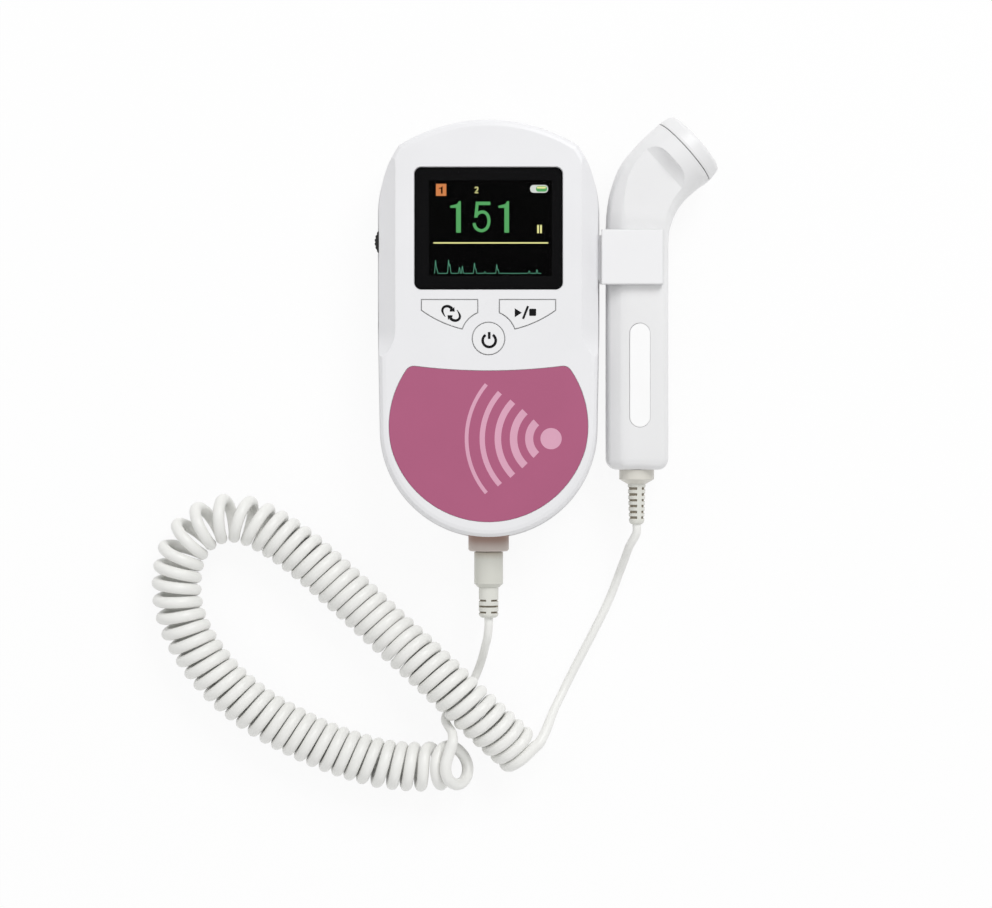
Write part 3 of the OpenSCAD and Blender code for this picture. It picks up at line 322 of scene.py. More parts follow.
def ribbon(path, width):
    """Outline of a stroke along a path of (x, y)."""
    left, right = [], []
    for i, p in enumerate(path):
        a, b = path[max(i - 1, 0)], path[min(i + 1, len(path) - 1)]
        dx, dy = b[0] - a[0], b[1] - a[1]
        d = math.hypot(dx, dy) or 1
        left.append((p[0] - dy / d * width / 2, p[1] + dx / d * width / 2))
        right.append((p[0] + dy / d * width / 2, p[1] - dx / d * width / 2))
    return left + right[::-1]


def arc(cx, cy, r, a0, a1, n):
    """Points round a centre, from one angle to the other in n steps."""
    return [(cx + r * math.cos(math.radians(a0 + (a1 - a0) * i / n)),
             cy + r * math.sin(math.radians(a0 + (a1 - a0) * i / n))) for i in range(n + 1)]


def spline(points, steps):
    """Smooth curve through the points."""
    p = [np.array(q, float) for q in points]
    out = []
    for i in range(len(p) - 1):
        a, b, c, d = p[max(i - 1, 0)], p[i], p[i + 1], p[min(i + 2, len(p) - 1)]
        for k in range(steps):
            t = k / steps
            out.append(0.5 * (2 * b + (c - a) * t + (2 * a - 5 * b + 4 * c - d) * t * t
                              + (3 * b - a - 3 * c + d) * t ** 3))
    return np.array(out + [p[-1]])


def skin(rings, sides):
    """Faces of a closed tube: those between its rings of points, then its two ends."""
    faces = []
    for i in range(rings - 1):
        for k in range(sides):
            m = (k + 1) % sides
            faces.append((i * sides + k, i * sides + m, (i + 1) * sides + m, (i + 1) * sides + k))
    faces.append(tuple(range(sides - 1, -1, -1)))
    faces.append(tuple((rings - 1) * sides + k for k in range(sides)))
    return faces


def tube(name, path, radii, mat, body, sides=16, arms=None):
    """One unbroken tube with closed flat ends. The arms point from the path to each ring's first point."""
    path = np.asarray(path, float)
    n = len(path)
    ways = np.gradient(path, axis=0)
    ways /= np.linalg.norm(ways, axis=1)[:, None]
    if arms is None:
        arm = np.cross(ways[0], (0, 0, 1.0))
        if np.linalg.norm(arm) < 0.1:
            arm = np.cross(ways[0], (1.0, 0, 0))
        arms = []
        for w in ways:
            arm = arm - (arm @ w) * w
            arm = arm / np.linalg.norm(arm)
            arms.append(arm)
        arms = np.array(arms)
    else:
        arms = arms - (arms * ways).sum(1)[:, None] * ways
        arms /= np.linalg.norm(arms, axis=1)[:, None]
    others = np.cross(ways, arms)
    radii = np.broadcast_to(np.asarray(radii, float), (n,))
    turn = np.arange(sides) * 2 * math.pi / sides
    rings = path[:, None] + radii[:, None, None] * (
        np.cos(turn)[None, :, None] * arms[:, None] + np.sin(turn)[None, :, None] * others[:, None])
    points = rings.reshape(-1, 3).tolist()
    return piece(name, points, skin(n, sides), mat, body, angle=ROUND_ANGLE)


# ---------- Cord ----------

# The wire is a little thicker than in the part's source, and its curls a little narrower.
WIRE_D, CURL_R = 3.8, 6.25
# Where its route bends, the curls stand wider apart, down to a least share of their usual number.
CURL_SPREAD = 1.1
LEAST_SHARE = 0.2
START_TURN = 62
POINTS_PER_CURL = 32
CURL_SIDES = 14
WIRE_END = 3.5
PLUG_OVERLAP = 2.6
PROBE_OVERLAP = 2.3
THICKER_FROM = 0.8
THINNER_TO = 0.25
ROUTE_STEPS, LEAD_STEPS = 12, 8


def unit(v):
    return v / np.linalg.norm(v)


def coil_path(rings):
    """Middle line of the curls: a left-handed helix round the route, wider apart where the route bends."""
    line = spline(COIL, ROUTE_STEPS)
    step = np.linalg.norm(np.diff(line, axis=0), axis=1)
    way = np.array([unit(line[min(i + 1, len(line) - 1)] - line[max(i - 1, 0)]) for i in range(len(line))])
    bend = np.linalg.norm(np.diff(way, axis=0), axis=1) / step
    n = len(step)
    tight = []
    for i in range(n):
        near = (bend[max(i - 3, 0)] + bend[max(i - 1, 0)] + bend[i] + bend[min(i + 2, n - 1)]) / 4
        tight.append(step[i] * max(1 - CURL_SPREAD * CURL_R * near, LEAST_SHARE))
    turned = np.concatenate([[0], np.cumsum(tight)])
    turned /= turned[-1]
    count = CURLS * rings + rings // 8
    at = np.interp(np.arange(count + 1) / count, turned, np.arange(len(line)))
    index = np.arange(len(line))

    def along(q):
        return np.stack([np.interp(q, index, line[:, k]) for k in range(3)], axis=1)

    t = along(np.minimum(at + 0.5, len(line) - 1)) - along(np.maximum(at - 0.5, 0))
    t /= np.linalg.norm(t, axis=1)[:, None]
    side = np.stack([-t[:, 1], t[:, 0], 0 * t[:, 0]], axis=1)
    side /= np.linalg.norm(side, axis=1)[:, None]
    phase = np.radians(START_TURN + np.arange(count + 1) * 360 / rings)
    out = -np.cos(phase)[:, None] * side + np.sin(phase)[:, None] * np.cross(t, side)
    return along(at) + CURL_R * out, out


curls, arms = coil_path(POINTS_PER_CURL)
wire_start = curls[0] - WIRE_END * unit(curls[1] - curls[0])
wire_end = curls[-1] + WIRE_END * unit(curls[-1] - curls[-2])


coil_line = np.vstack([wire_start, curls, wire_end])
coil_arms = np.vstack([arms[0], arms, arms[-1]])
coil_obj = tube("curly_cord", coil_line, WIRE_D / 2, CORD, "unit", sides=CURL_SIDES, arms=coil_arms)
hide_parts("coiled_cord")

into = unit(curls[0] - wire_start)
plug_line = spline(PLUG_LEAD + [tuple(wire_start - PLUG_OVERLAP * into), tuple(wire_start)], LEAD_STEPS)
lead_r = np.interp(np.linspace(0, 1, len(plug_line)), [0, THICKER_FROM, 1],
                   [LEAD_D / 2, LEAD_D / 2, WIRE_D / 2])
plug_obj = tube("cord_at_plug", plug_line, lead_r, CORD, None)
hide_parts("plug_lead")
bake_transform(plug_obj)

out_of = unit(wire_end - curls[-1])
probe_line = spline([tuple(wire_end), tuple(wire_end + PROBE_OVERLAP * out_of)] + PROBE_LEAD, LEAD_STEPS)
lead_r = np.interp(np.linspace(0, 1, len(probe_line)), [0, THINNER_TO, 1],
                   [WIRE_D / 2, LEAD_D / 2, LEAD_D / 2])
probe_obj = tube("cord_at_probe", probe_line, lead_r, CORD, None)
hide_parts("probe_lead")
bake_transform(probe_obj)


# ---------- Probe ----------

EDGE_LEFT, EDGE_RIGHT = 3.6, 1.9
SIDE_POINTS, ROUNDINGS = 2, 3
TURN = math.radians(LEAN)
HEAD_WAY = np.array([math.sin(TURN), math.cos(TURN), 0])
HEAD_ACROSS = np.array([math.cos(TURN), -math.sin(TURN), 0])
UPWARD = np.array([0, 0, 1.0])
BEND_END = np.array([PROBE_X + BEND_R * (1 - math.cos(TURN)), BEND_Y + BEND_R * math.sin(TURN), MID_Z])
SEAM = BEND_END + HEAD_L * HEAD_WAY
SEAM_GAP = 0.13
BACK_FROM_SEAM = 1.4
SEAM_SINK = 0.22
SEAM_SIDES = 72
SEAM_STOPS = (-1.6, -0.8, 0.02)
# The two sides of the bend, seen from above, as measured on the picture.
OUTER = [(38.2, 31), (38.4, 38), (39.2, 43.9), (40.55, 48.5), (42.15, 52.6), (44.45, 56.2), (47.3, 59.5),
         (50.4, 62.8), (53.3, 65.4)]
INNER = [(58.2, 26), (58.5, 31), (59.8, 35.9), (62, 40.3), (64.9, 43.7), (68.6, 46.8)]
CURVE_STEPS, CURVE_POINTS = 12, 31
STRAIGHT_FROM = 8
OUTER_STRAIGHT_TO = 30
INNER_STRAIGHT_TO = 25
STRAIGHT_STOPS = 9
ROUND_AT = 0.86
END_STEP = 10
END_LENGTH = 5
INTO_HEAD = 3
WALL, FLOOR_OF_HANDLE = 1.9, 2
CUT_BACK = -150
CUT_HIGH = 30
CUT_HALF = 60
CRESCENT_POINTS = 14
AROUND_PROBE = (20, -80, 110, 110)
BELOW_ALL = -20
ABOVE_ALL = 60
HALVES_GAP = 0.02
LABEL_SHIFT = 0.52
LABEL_Y = -14.5
LABEL_W = 6.7
LABEL_H = 33.6
LABEL_LOW = 22
LABEL_TOP = 30
SCREWS_Y = (-37, 22.4)
SCREW_HOLE_R = 2.1
SCREW_HOLE_L = 3
STADIUM_STEPS = 20


def between(a, b, share):
    """Point on the way from a to b."""
    return a[0] * (1 - share) + b[0] * share, a[1] * (1 - share) + b[1] * share


def section(share):
    """Outline across the handle, or across the head at share 1, as (towards the right, height) points."""
    w, d = HANDLE_HALF, HALF_D
    corners = [(-w, -d + EDGE_LEFT), (-w + FLAT_LEFT, -d), (w - FLAT_RIGHT, -d), (w, -d + EDGE_RIGHT),
               (w, d - EDGE_RIGHT), (w - FLAT_RIGHT, d), (-w + FLAT_LEFT, d), (-w, d - EDGE_LEFT)]
    shape = []
    for i, a in enumerate(corners):
        b = corners[(i + 1) % len(corners)]
        shape += [(a[0] + (b[0] - a[0]) * k / SIDE_POINTS, a[1] + (b[1] - a[1]) * k / SIDE_POINTS)
                  for k in range(SIDE_POINTS)]
    for _ in range(ROUNDINGS):
        pairs = list(zip(shape, shape[1:] + shape[:1]))
        shape = [between(a, b, part) for a, b in pairs for part in (0.25, 0.75)]
    shape = np.array(shape)
    wide = np.hypot(shape[:, 0], shape[:, 1])
    share = share * share * (3 - 2 * share)
    return shape * (1 - share) + shape / wide[:, None] * HEAD_R * share


def side_curve(points, s):
    """One side of the bend, seen from above, down to the seam's end, as evenly spaced points."""
    last = [tuple((SEAM + s * HEAD_R * HEAD_ACROSS - d * HEAD_WAY)[:2]) for d in (BACK_FROM_SEAM, SEAM_GAP)]
    line = spline([(*q, 0) for q in points + last], CURVE_STEPS)[:, :2]
    run = np.concatenate([[0], np.cumsum(np.linalg.norm(np.diff(line, axis=0), axis=1))])
    want = np.linspace(0, run[-1], CURVE_POINTS)
    return np.stack([np.interp(want, run, line[:, k]) for k in range(2)], axis=1)


def loft(name, inset=0.0, low=HANDLE_LOW):
    """Skin of the handle and the bent neck, swept between its two side curves.

    With an inset it is the hollow inside that skin, whose lower end isn't rounded.
    """
    rings = []
    turns = np.radians(np.arange(0, 91, END_STEP))
    ends = [(0, 0), (END_LENGTH, 0)] if inset else [
        (END_ROUND * (1 - math.cos(turn)), END_ROUND * (1 - math.sin(turn))) for turn in turns]
    left, right = PROBE_X - HANDLE_HALF, PROBE_X + HANDLE_HALF
    stops = [((left, low + at), (right, low + at), pull, 0.0) for at, pull in ends]
    outer, inner = side_curve(OUTER, -1), side_curve(INNER, 1)
    left_ys = np.linspace(low + STRAIGHT_FROM, OUTER_STRAIGHT_TO, STRAIGHT_STOPS)[:-1]
    right_ys = np.linspace(low + STRAIGHT_FROM, INNER_STRAIGHT_TO, STRAIGHT_STOPS)[:-1]
    stops += [((left, a), (right, b), 0.0, 0.0) for a, b in zip(left_ys, right_ys)]
    n = len(outer)
    for i in range(n):
        stops.append((outer[i], inner[i], 0.0, min(1.0, i / (n - 1) / ROUND_AT)))
    if inset:
        further = INTO_HEAD * HEAD_WAY[:2]
        stops.append((outer[-1] + further, inner[-1] + further, 0.0, 1.0))
    for a, b, pull, share in stops:
        a, b = np.array([*a, MID_Z]), np.array([*b, MID_Z])
        wide = np.linalg.norm(b - a)
        shape = section(share)
        shape[:, 0] *= wide / 2 / shape[:, 0].max()
        off = inset + pull
        size = np.hypot(shape[:, 0], shape[:, 1])
        shape = shape * (1 - off / size)[:, None]
        if inset:
            shape[:, 1] = np.clip(shape[:, 1], inset - HALF_D, HALF_D - inset)
        rings.append((a + b) / 2 + shape[:, :1] * (b - a) / wide + shape[:, 1:] * UPWARD)
    return piece(name, np.vstack(rings).tolist(), skin(len(rings), len(rings[0])), PROBE, None, soft=False)


def prism(name, outline, z0, z1):
    """Cutter with a flat outline."""
    return plates(name, [outline], z0, z1, PROBE, None)


def cut(obj, cutters, keep=False):
    """Takes the cutters out of the object, and deletes them unless they are kept."""
    for cutter in cutters:
        work = obj.modifiers.new("cut", "BOOLEAN")
        work.operation = "DIFFERENCE"
        work.object = cutter
        work.solver = "EXACT"
        bpy.context.view_layer.objects.active = obj
        with bpy.context.temp_override(object=obj, active_object=obj, selected_objects=[obj]):
            bpy.ops.object.modifier_apply(modifier=work.name)
    if not keep:
        for cutter in cutters:
            bpy.data.objects.remove(cutter)


def stadium(x, y, w, h):
    """Outline of an upright slot with round ends, round its middle."""
    r = w / 2
    top, bottom = y + h / 2 - r, y - h / 2 + r
    return arc(x, top, r, 0, 180, STADIUM_STEPS) + arc(x, bottom, r, 180, 360, STADIUM_STEPS)


def step_cutter(name, up):
    """Cuts the flat front, or back, of the handle on into the head, with its hollow end."""
    turns = np.radians(np.linspace(CRESCENT_CREASE, 90, CRESCENT_POINTS))
    along = (1 - np.sin(turns)) / (1 - math.sin(turns[0]))
    drop = np.cos(turns) / math.cos(turns[0])
    reach, depth = CRESCENT_FROM - CRESCENT_TO, HEAD_R - HALF_D
    hollow = [(-CRESCENT_TO - reach * a, HEAD_R - depth * d) for a, d in zip(along, drop)]
    profile = [(CUT_BACK, HALF_D)] + hollow + [(-CRESCENT_TO, CUT_HIGH), (CUT_BACK, CUT_HIGH)]
    n = len(profile)
    points = [SEAM + HEAD_WAY * a + HEAD_ACROSS * s * CUT_HALF + np.array([0, 0, up * h])
              for s in (-1, 1) for a, h in profile]
    faces = [tuple(range(n)), tuple(range(2 * n - 1, n - 1, -1))]
    faces += [(i, i + n, (i + 1) % n + n, (i + 1) % n) for i in range(n)]
    return piece(name, [q.tolist() for q in points], faces, PROBE, None, soft=False)


def square(x0, y0, x1, y1):
    """Outline of a rectangle between two corners."""
    return [(x0, y0), (x1, y0), (x1, y1), (x0, y1)]


for half in ("front", "rear"):
    up = half == "front"
    shell = loft(f"probe_{half}")
    cut(shell, [step_cutter("step_a", 1), step_cutter("step_b", -1)])
    cut(shell, [loft("hollow", inset=WALL, low=HANDLE_LOW + FLOOR_OF_HANDLE)])
    other_half = (BELOW_ALL, MID_Z) if up else (MID_Z - HALVES_GAP, ABOVE_ALL)
    cut(shell, [prism("other_half", square(*AROUND_PROBE), *other_half)])
    if up:
        pocket = stadium(PROBE_X + LABEL_SHIFT, LABEL_Y, LABEL_W, LABEL_H)
        cut(shell, [prism("label_place", pocket, LABEL_LOW, LABEL_TOP)])
    else:
        hole_top = MID_Z - HALF_D + SCREW_HOLE_L
        cut(shell, [prism("hole", arc(PROBE_X, y, SCREW_HOLE_R, 0, 351, 39), 0, hole_top) for y in SCREWS_Y])
    smooth(shell, SKIN_ANGLE)
    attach(shell, "probe")
    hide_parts(f"probe_{half}_shell")

# Painted shade in the seam between head and cap: a grey ring just inside the gap.
seam_path = [(SEAM + HEAD_WAY * d).tolist() for d in SEAM_STOPS]
seam_shade_ring = tube("probe_seam_shade", seam_path, HEAD_R - SEAM_SINK, SEAM_SHADE, "probe", sides=SEAM_SIDES)


# ---------- Slotted sleeves on the cord, with painted shade in their slots ---

RING_STEP = 0.12
SLEEVE_SIDES = 120
SLEEVE_ANGLE = 40
SLOT_DEPTH = 0.75
SHALLOW_SLOT = 0.35
STEEP_SIDE = 0.87


def sleeve(name, node, body, x, z, y0, y1, r0, r1, rows, tip, base, slot_h, spine, split_turn, whole=()):
    """Moulded sleeve along -Y with rows of slots beside its two spines, and painted shade in the slots.

    It narrows from radius r0 to r1, and by tip over the last base millimetres. Angles run from +Z
    towards +X, in degrees, and a row named in whole has its spines a quarter turn away.
    """
    steps, sides = int((y0 - y1) / RING_STEP), SLEEVE_SIDES
    points, dark = [], []
    for i in range(steps + 1):
        y = y0 + (y1 - y0) * i / steps
        r = r0 + (r1 - r0) * (i / steps)
        left = y - y1
        if left < base:
            r -= tip * (1 - math.sqrt(max(0.0, 1 - (1 - left / base) ** 2)))
        for k in range(sides):
            a = 360 * k / sides
            turn = math.radians(a)
            depth = 0.0
            for n, row in enumerate(rows):
                if abs(y - row) < slot_h / 2:
                    centre = split_turn + (90 if n in whole else 0)
                    off = abs((a - centre + 90) % 180 - 90)
                    if off > spine:
                        depth = SLOT_DEPTH if abs(math.sin(turn)) < STEEP_SIDE else SHALLOW_SLOT
            points.append((x + (r - depth) * math.sin(turn), y, z + (r - depth) * math.cos(turn)))
            dark.append(depth > 0)
    faces = skin(steps + 1, sides)
    # Painted shade: faces in the slots take the darker groove colour.
    shade = [1 if sum(dark[v] for v in face) >= 2 else 0 for face in faces[:-2]] + [0, 0]
    obj = piece(name, points, faces, SLEEVE, body, angle=SLEEVE_ANGLE)
    obj.data.materials.append(GROOVE_SHADE)
    obj.data.polygons.foreach_set("material_index", shade)
    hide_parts(node)


sleeve("plug_sleeve", "plug_boot", "plug", x=0, z=13, y0=-83.3, y1=-93.3, r0=3.2, r1=3.2,
       rows=[-87.55, -89.5, -91.45], tip=1.5, base=1.4, slot_h=0.5, spine=17, split_turn=0, whole=(1,))
sleeve("probe_sleeve", "probe_boot", "probe", x=48.2, z=14, y0=-49.6, y1=-62.8, r0=2.9, r1=2.45,
       rows=[-51.15 - 1.89 * k for k in range(6)], tip=1.1, base=1.5, slot_h=0.72, spine=17, split_turn=16)


# ---------- Display: its marks are placed in units of a zoomed part of the picture ----------

SCREEN_PX = 405
SCREEN_PY = 155
SCREEN_ZOOM = 8.96
SCREEN_Z = 26.9
KEYS_PX = 425
KEYS_PY = 290
KEYS_ZOOM = 12.06
KEY_TOP = BODY_T + 0.25
# Lowest and highest level of each kind of mark.
DIGIT_LEVELS = (26.91, 26.95)
MARK_LEVELS = (26.91, 26.94)
BOX_LEVELS = (26.91, 26.93)
CHARGE_LEVELS = (26.905, 26.93)
UPPER_LEVELS = (26.935, 26.95)
BEZEL_LEVELS = (27.02, 27.07)


def photo_mm(x, y, z):
    """A point of the picture, in its pixels, on a level of the object."""
    nearer = (CAMERA_Z - z) / (CAMERA_Z - SCALE_Z)
    return (CAMERA_X + ((x - ORIGIN_PX) * MM_PER_PIXEL - CAMERA_X) * nearer,
            CAMERA_Y + ((ORIGIN_PY - y) * MM_PER_PIXEL - CAMERA_Y) * nearer)


def on_screen(u, v):
    return photo_mm(SCREEN_PX + u / SCREEN_ZOOM, SCREEN_PY + v / SCREEN_ZOOM, SCREEN_Z)


def on_key(u, v):
    return photo_mm(KEYS_PX + u / KEYS_ZOOM, KEYS_PY + v / KEYS_ZOOM, KEY_TOP)


def box_of(u0, v0, u1, v1):
    """Outline of a box on the display."""
    return [on_screen(u0, v1), on_screen(u1, v1), on_screen(u1, v0), on_screen(u0, v0)]


def digit_one(left, top, bottom, scale):
    """Outline of the digit 1, with a slanted flag at its upper left."""
    stem, right, peak, notch = left + 53 * scale, left + 95 * scale, left + 78 * scale, left + 62 * scale
    notch_low, flag_top, flag_low = top + 26 * scale, top + 42 * scale, top + 60 * scale
    outline = [(stem, bottom), (right, bottom), (right, top), (peak, top), (notch, notch_low),
               (left, flag_top), (left, flag_low), (stem, flag_low)]
    return [on_screen(*p) for p in outline]


def frame_of(outer, inner, z0, z1, mat, name, body):
    """Flat ring between two outlines with as many points."""
    n = len(outer)
    points = [(x, y, z) for z in (z0, z1) for ring in (outer, inner) for x, y in ring]
    faces = []
    for k in range(n):
        m = (k + 1) % n
        faces += [(2 * n + k, 2 * n + m, 3 * n + m, 3 * n + k), (k, n + k, n + m, m),
                  (k, m, 2 * n + m, 2 * n + k), (n + k, 3 * n + k, 3 * n + m, n + m)]
    return piece(name, points, faces, mat, body, soft=False)


def rounded(x0, y0, x1, y1, r, n=10):
    """Outline of a rectangle with round corners, in n steps each."""
    return (arc(x1 - r, y1 - r, r, 0, 90, n) + arc(x0 + r, y1 - r, r, 90, 180, n)
            + arc(x0 + r, y0 + r, r, 180, 270, n) + arc(x1 - r, y0 + r, r, 270, 360, n))


def lit(name, shapes, levels, mat):
    """Marks on the display, between two levels."""
    plates(name, shapes, *levels, mat, "unit")


WINDOW_UPPER_LEFT = (215, 228)
WINDOW_LOWER_RIGHT = (1315, 1085)
WINDOW_CORNER = 0.2
BEZEL, BEZEL_CORNER = (-23.7, 12.75, 23.7, 51.85), 2.25
x0, y1 = on_screen(*WINDOW_UPPER_LEFT)
x1, y0 = on_screen(*WINDOW_LOWER_RIGHT)
window = rounded(x0, y0, x1, y1, WINDOW_CORNER)
bezel = frame_of(rounded(*BEZEL, BEZEL_CORNER), window, *BEZEL_LEVELS, PRINT, "bezel_print", "unit")

DIGIT_TOP = 415
DIGIT_BOTTOM = 697
FIRST_LEFT = 405
LAST_LEFT = 837
FIVE_BAR, FIVE_STEM = (634, 420, 764, 450), [(634, 430), (660, 430), (650, 562), (620, 562)]
FIVE_BOWL = [(636, 548), (656, 524), (686, 512), (718, 518), (742, 545), (752, 590), (744, 636),
             (722, 666), (686, 680), (650, 668), (628, 644), (618, 612)]
STROKE, BOWL_STEPS = 0.98, 5
bowl = spline([(*on_screen(*p), 0) for p in FIVE_BOWL], BOWL_STEPS)[:, :2]
digits = [digit_one(left, DIGIT_TOP, DIGIT_BOTTOM, scale=1) for left in (FIRST_LEFT, LAST_LEFT)]
digits += [ribbon([tuple(p) for p in bowl], STROKE), box_of(*FIVE_BAR), [on_screen(*p) for p in FIVE_STEM]]
lit("lit_digits", digits, DIGIT_LEVELS, GREEN)

CHANNEL_BOX = (277, 260, 370, 368)
lit("lit_box", [box_of(*CHANNEL_BOX)], BOX_LEVELS, AMBER)
lit("lit_box_digit", [digit_one(left=303, top=282, bottom=348, scale=0.36)], UPPER_LEVELS, PANEL)

SMALL_TWO = [(626, 300), (634, 290), (648, 290), (654, 302), (646, 318), (626, 340), (656, 340)]
TWO_STROKE, TRACE_STROKE = 0.34, 0.19
BASE_LINE, PAUSE_BARS = (255, 783, 1282, 795), [(1184, 628, 1200, 702), (1210, 628, 1226, 702)]
marks = [ribbon([on_screen(*p) for p in SMALL_TWO], TWO_STROKE)]
marks += [box_of(*box) for box in [BASE_LINE] + PAUSE_BARS]
lit("lit_marks", marks, MARK_LEVELS, YELLOW)

# The trace has a peak at each (place, height), over a faint ripple.
PEAKS = [(274, 118), (286, 40), (390, 118), (402, 84), (488, 58), (514, 64), (622, 96), (634, 40),
         (716, 16), (822, 80), (834, 34), (1112, 26), (1182, 32)]
TRACE_FROM = 262
TRACE_TO = 1222
TRACE_STEP = 4
TRACE_V = 1062
PEAK_W = 5.5
RIPPLE = 2.5
RIPPLE_RATE = 0.31
trace = []
for u in range(TRACE_FROM, TRACE_TO, TRACE_STEP):
    height = sum(h * math.exp(-((u - at) / PEAK_W) ** 2) for at, h in PEAKS)
    trace.append(on_screen(u, TRACE_V - height - RIPPLE * math.sin(u * RIPPLE_RATE)))
lit("lit_trace", [ribbon(trace[i:i + 2], TRACE_STROKE) for i in range(len(trace) - 1)], MARK_LEVELS,
    DIM_GREEN)

# The battery sign: a rim that is thick on its left, the charge in it and a shine along its top.
CELL_UPPER_LEFT = (1120, 270)
CELL_LOWER_RIGHT = (1282, 340)
CELL_CORNER = 1.2
CHARGE_CORNER = 0.85
RIM_LEFT = 1.9
RIM_RIGHT = 0.3
RIM_ENDS = 0.35
SHINE_LEFT = 2.2
SHINE_RIGHT = 0.7
SHINE_LOW = 1.15
SHINE_TOP = 0.55
SHINE_CORNER = 0.28
cell_x0, cell_y1 = on_screen(*CELL_UPPER_LEFT)
cell_x1, cell_y0 = on_screen(*CELL_LOWER_RIGHT)
charge = rounded(cell_x0 + RIM_LEFT, cell_y0 + RIM_ENDS, cell_x1 - RIM_RIGHT, cell_y1 - RIM_ENDS,
                 CHARGE_CORNER)
shine = rounded(cell_x0 + SHINE_LEFT, cell_y1 - SHINE_LOW, cell_x1 - SHINE_RIGHT, cell_y1 - SHINE_TOP,
                SHINE_CORNER)
cell_outline = rounded(cell_x0, cell_y0, cell_x1, cell_y1, CELL_CORNER)
cell_rim = frame_of(cell_outline, charge, *MARK_LEVELS, LIT_WHITE, "lit_cell_rim", "unit")
lit("lit_cell_charge", [charge], CHARGE_LEVELS, GREEN)
lit("lit_cell_shine", [shine], UPPER_LEVELS, YELLOW)

# ---------- Icons on the buttons ----------

ICON_SINK = 0.01
ICON_RISE = 0.03
WEDGE_STEPS = 6
CYCLE_U, CYCLE_V = 315, 284
ARROW = [(246, 326), (222, 290), (209, 248), (224, 212), (262, 197), (300, 206), (325, 228)]
ARROW_WIDTHS = [5, 18, 28, 30, 32, 34, 36]
ARROW_HEAD = [(298, 262), (359, 262), (352, 207), (336, 222), (300, 236)]
PLAY = [(1082, 222), (1082, 330), (1168, 276)]
SLASH, SLASH_W = [(1182, 350), (1212, 272), (1243, 196)], 27
STOP_U, STOP_V = 1256, 228
STOP = [(8, 0), (76, 0), (84, 8), (84, 78), (76, 86), (8, 86), (0, 78), (0, 8)]
RING_U = 774
RING_V = 610
RING_R = 79
RING_W = 32
RING_FROM = 33
RING_TO = 327
RING_POINTS = 50
POWER_BAR = [(774, 508), (774, 550), (774, 592)]


def wedge(points, widths):
    """Stroke on a button whose width changes along it."""
    line = spline([(*p, 0) for p in points], WEDGE_STEPS)[:, :2]
    wide = np.interp(np.linspace(0, 1, len(line)), np.linspace(0, 1, len(widths)), widths)
    left, right = [], []
    for i in range(len(line)):
        d = line[min(i + 1, len(line) - 1)] - line[max(i - 1, 0)]
        d = d / np.linalg.norm(d)
        left.append(on_key(line[i][0] - d[1] * wide[i] / 2, line[i][1] + d[0] * wide[i] / 2))
        right.append(on_key(line[i][0] + d[1] * wide[i] / 2, line[i][1] - d[0] * wide[i] / 2))
    return left + right[::-1]


def half_turn(points):
    """The same points, turned half round the middle of the cycle sign."""
    return [(2 * CYCLE_U - u, 2 * CYCLE_V - v) for u, v in points]


def icon(name, shapes, button):
    """Printed sign on a button."""
    plates(name, shapes, KEY_TOP - ICON_SINK, KEY_TOP + ICON_RISE, INK, button)


cycle = []
for arrow, arrow_head in ((ARROW, ARROW_HEAD), (half_turn(ARROW), half_turn(ARROW_HEAD))):
    cycle += [wedge(arrow, ARROW_WIDTHS), [on_key(*p) for p in arrow_head]]
icon("icon_cycle", cycle, "mode_button")
icon("icon_play_stop", [[on_key(*p) for p in PLAY], wedge(SLASH, [SLASH_W]),
                        [on_key(STOP_U + du, STOP_V + dv) for du, dv in STOP]], "start_stop_button")
ring = [(RING_U + RING_R * math.sin(a), RING_V - RING_R * math.cos(a))
        for a in np.radians(np.linspace(RING_FROM, RING_TO, RING_POINTS))]
icon("icon_power", [wedge(ring, [RING_W]), wedge(POWER_BAR, [RING_W])], "power_button")

# ---------- Painted shade in the gaps round the buttons: a grey sheet left only in the gaps ---

GAP_SHADE_LOW, GAP_SHADE_TOP = BODY_T - 0.8, BODY_T - 0.42
keys = [nodes[name] for name in ("mode_button", "start_stop_button", "power_button")]
corners = np.array([list(corner) for key in keys for corner in key.bound_box]) / MM
around_keys = square(*corners[:, :2].min(axis=0), *corners[:, :2].max(axis=0))
gap_shade_sheet = plates("key_gap_shade", [around_keys], GAP_SHADE_LOW, GAP_SHADE_TOP, SEAM_SHADE, "unit")
cut(gap_shade_sheet, [nodes["front_cover"]] + keys, keep=True)

# ---------- Print on the label: sound waves beside a dot ----------

DOT_X = 20
DOT_Y = -35
DOT_R = 3.4
WAVES = [(7, 2.6), (12, 2.4), (17, 2.1), (22, 1.7), (27, 1.2)]
WAVES_FROM = 132
WAVES_TO = 228
WAVES_SHORTER = 2
WAVE_STEPS = 48
PRINT_SINK, PRINT_RISE = 0.01, 0.02
waves = []
for k, (r, w) in enumerate(WAVES):
    less = k * WAVES_SHORTER
    waves.append(ribbon(arc(DOT_X, DOT_Y, r, WAVES_FROM + less, WAVES_TO - less, WAVE_STEPS), w))
waves.append(arc(DOT_X, DOT_Y, DOT_R, 0, 354, 59))
label_waves = plates("label_waves", waves, BODY_T - PRINT_SINK, BODY_T + PRINT_RISE, PALE_PINK, "unit")

# ---------- Stage and light ----------

FLOOR_WHITE = 0.9
FLOOR_ROUGHNESS = 0.9
FLOOR_SPECULAR = 0.1
FLOOR_GLOW = 0.9
FLOOR_SIZE = 6
FLOOR_Z = -0.0002
SKY = 0.545
LAMP_AIM = (0, -0.03, 0)


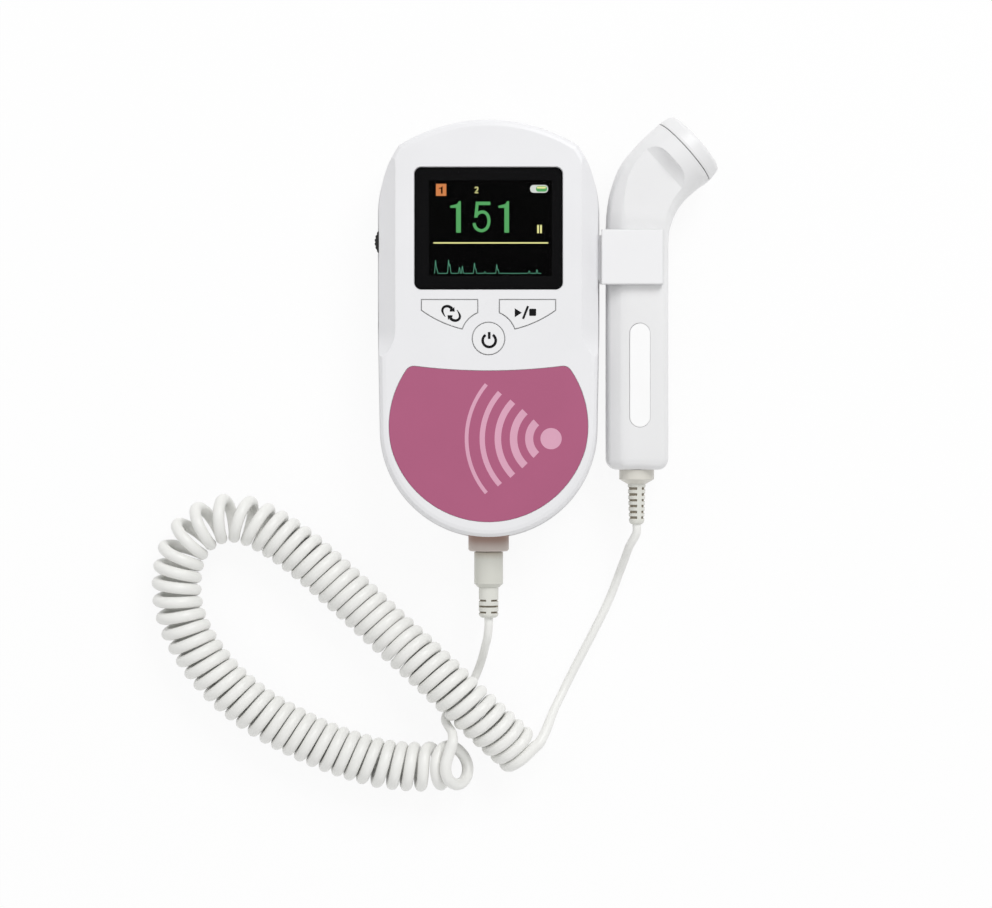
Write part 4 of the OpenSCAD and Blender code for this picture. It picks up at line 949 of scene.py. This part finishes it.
def floor_material():
    """Pale floor with its shadow, most of which glows white for the camera, for metal and for glass."""
    mat = bpy.data.materials.new("floor")
    mat.use_nodes = True
    tree = mat.node_tree
    new, link = tree.nodes.new, tree.links.new
    shader = tree.nodes["Principled BSDF"]
    shader.inputs["Base Color"].default_value = (FLOOR_WHITE, FLOOR_WHITE, FLOOR_WHITE, 1)
    shader.inputs["Roughness"].default_value = FLOOR_ROUGHNESS
    shader.inputs["Specular IOR Level"].default_value = FLOOR_SPECULAR
    glow = new("ShaderNodeEmission")
    glow.inputs["Color"].default_value = (1, 1, 1, 1)
    rays = new("ShaderNodeLightPath")
    first = new("ShaderNodeMath")
    first.operation = "MAXIMUM"
    second = new("ShaderNodeMath")
    second.operation = "MAXIMUM"
    share = new("ShaderNodeMath")
    share.operation = "MULTIPLY"
    share.inputs[1].default_value = FLOOR_GLOW
    link(rays.outputs["Is Camera Ray"], first.inputs[0])
    link(rays.outputs["Is Glossy Ray"], first.inputs[1])
    link(first.outputs[0], second.inputs[0])
    link(rays.outputs["Is Transmission Ray"], second.inputs[1])
    link(second.outputs[0], share.inputs[0])
    mix = new("ShaderNodeMixShader")
    link(share.outputs[0], mix.inputs["Fac"])
    link(shader.outputs[0], mix.inputs[1])
    link(glow.outputs[0], mix.inputs[2])
    link(mix.outputs[0], tree.nodes["Material Output"].inputs["Surface"])
    return mat


bpy.ops.mesh.primitive_plane_add(size=FLOOR_SIZE, location=(0, 0, FLOOR_Z))
floor = bpy.context.object
floor.name = "floor"
floor.data.materials.append(floor_material())

world = bpy.data.worlds.new("studio")
world.use_nodes = True
scene.world = world
sky = world.node_tree.nodes["Background"]
sky.inputs["Color"].default_value = (1, 1, 1, 1)
sky.inputs["Strength"].default_value = SKY


def lamp(name, place, size, power):
    """White lamp, in metres and watts, that faces the object."""
    data = bpy.data.lights.new(name, "AREA")
    data.shape = "RECTANGLE"
    data.size, data.size_y = size
    data.energy = power
    obj = bpy.data.objects.new(name, data)
    obj.location = place
    obj.rotation_mode = "QUATERNION"
    obj.rotation_quaternion = (Vector(LAMP_AIM) - Vector(place)).to_track_quat("-Z", "Y")
    scene.collection.objects.link(obj)


lamp("key", (0.55, 0.95, 1.1), (0.8, 0.8), 11.8)
lamp("fill", (-0.9, 0.5, 0.9), (0.9, 0.9), 2.5)
lamp("front", (0.1, -1.1, 0.8), (1.0, 0.6), 3.0)
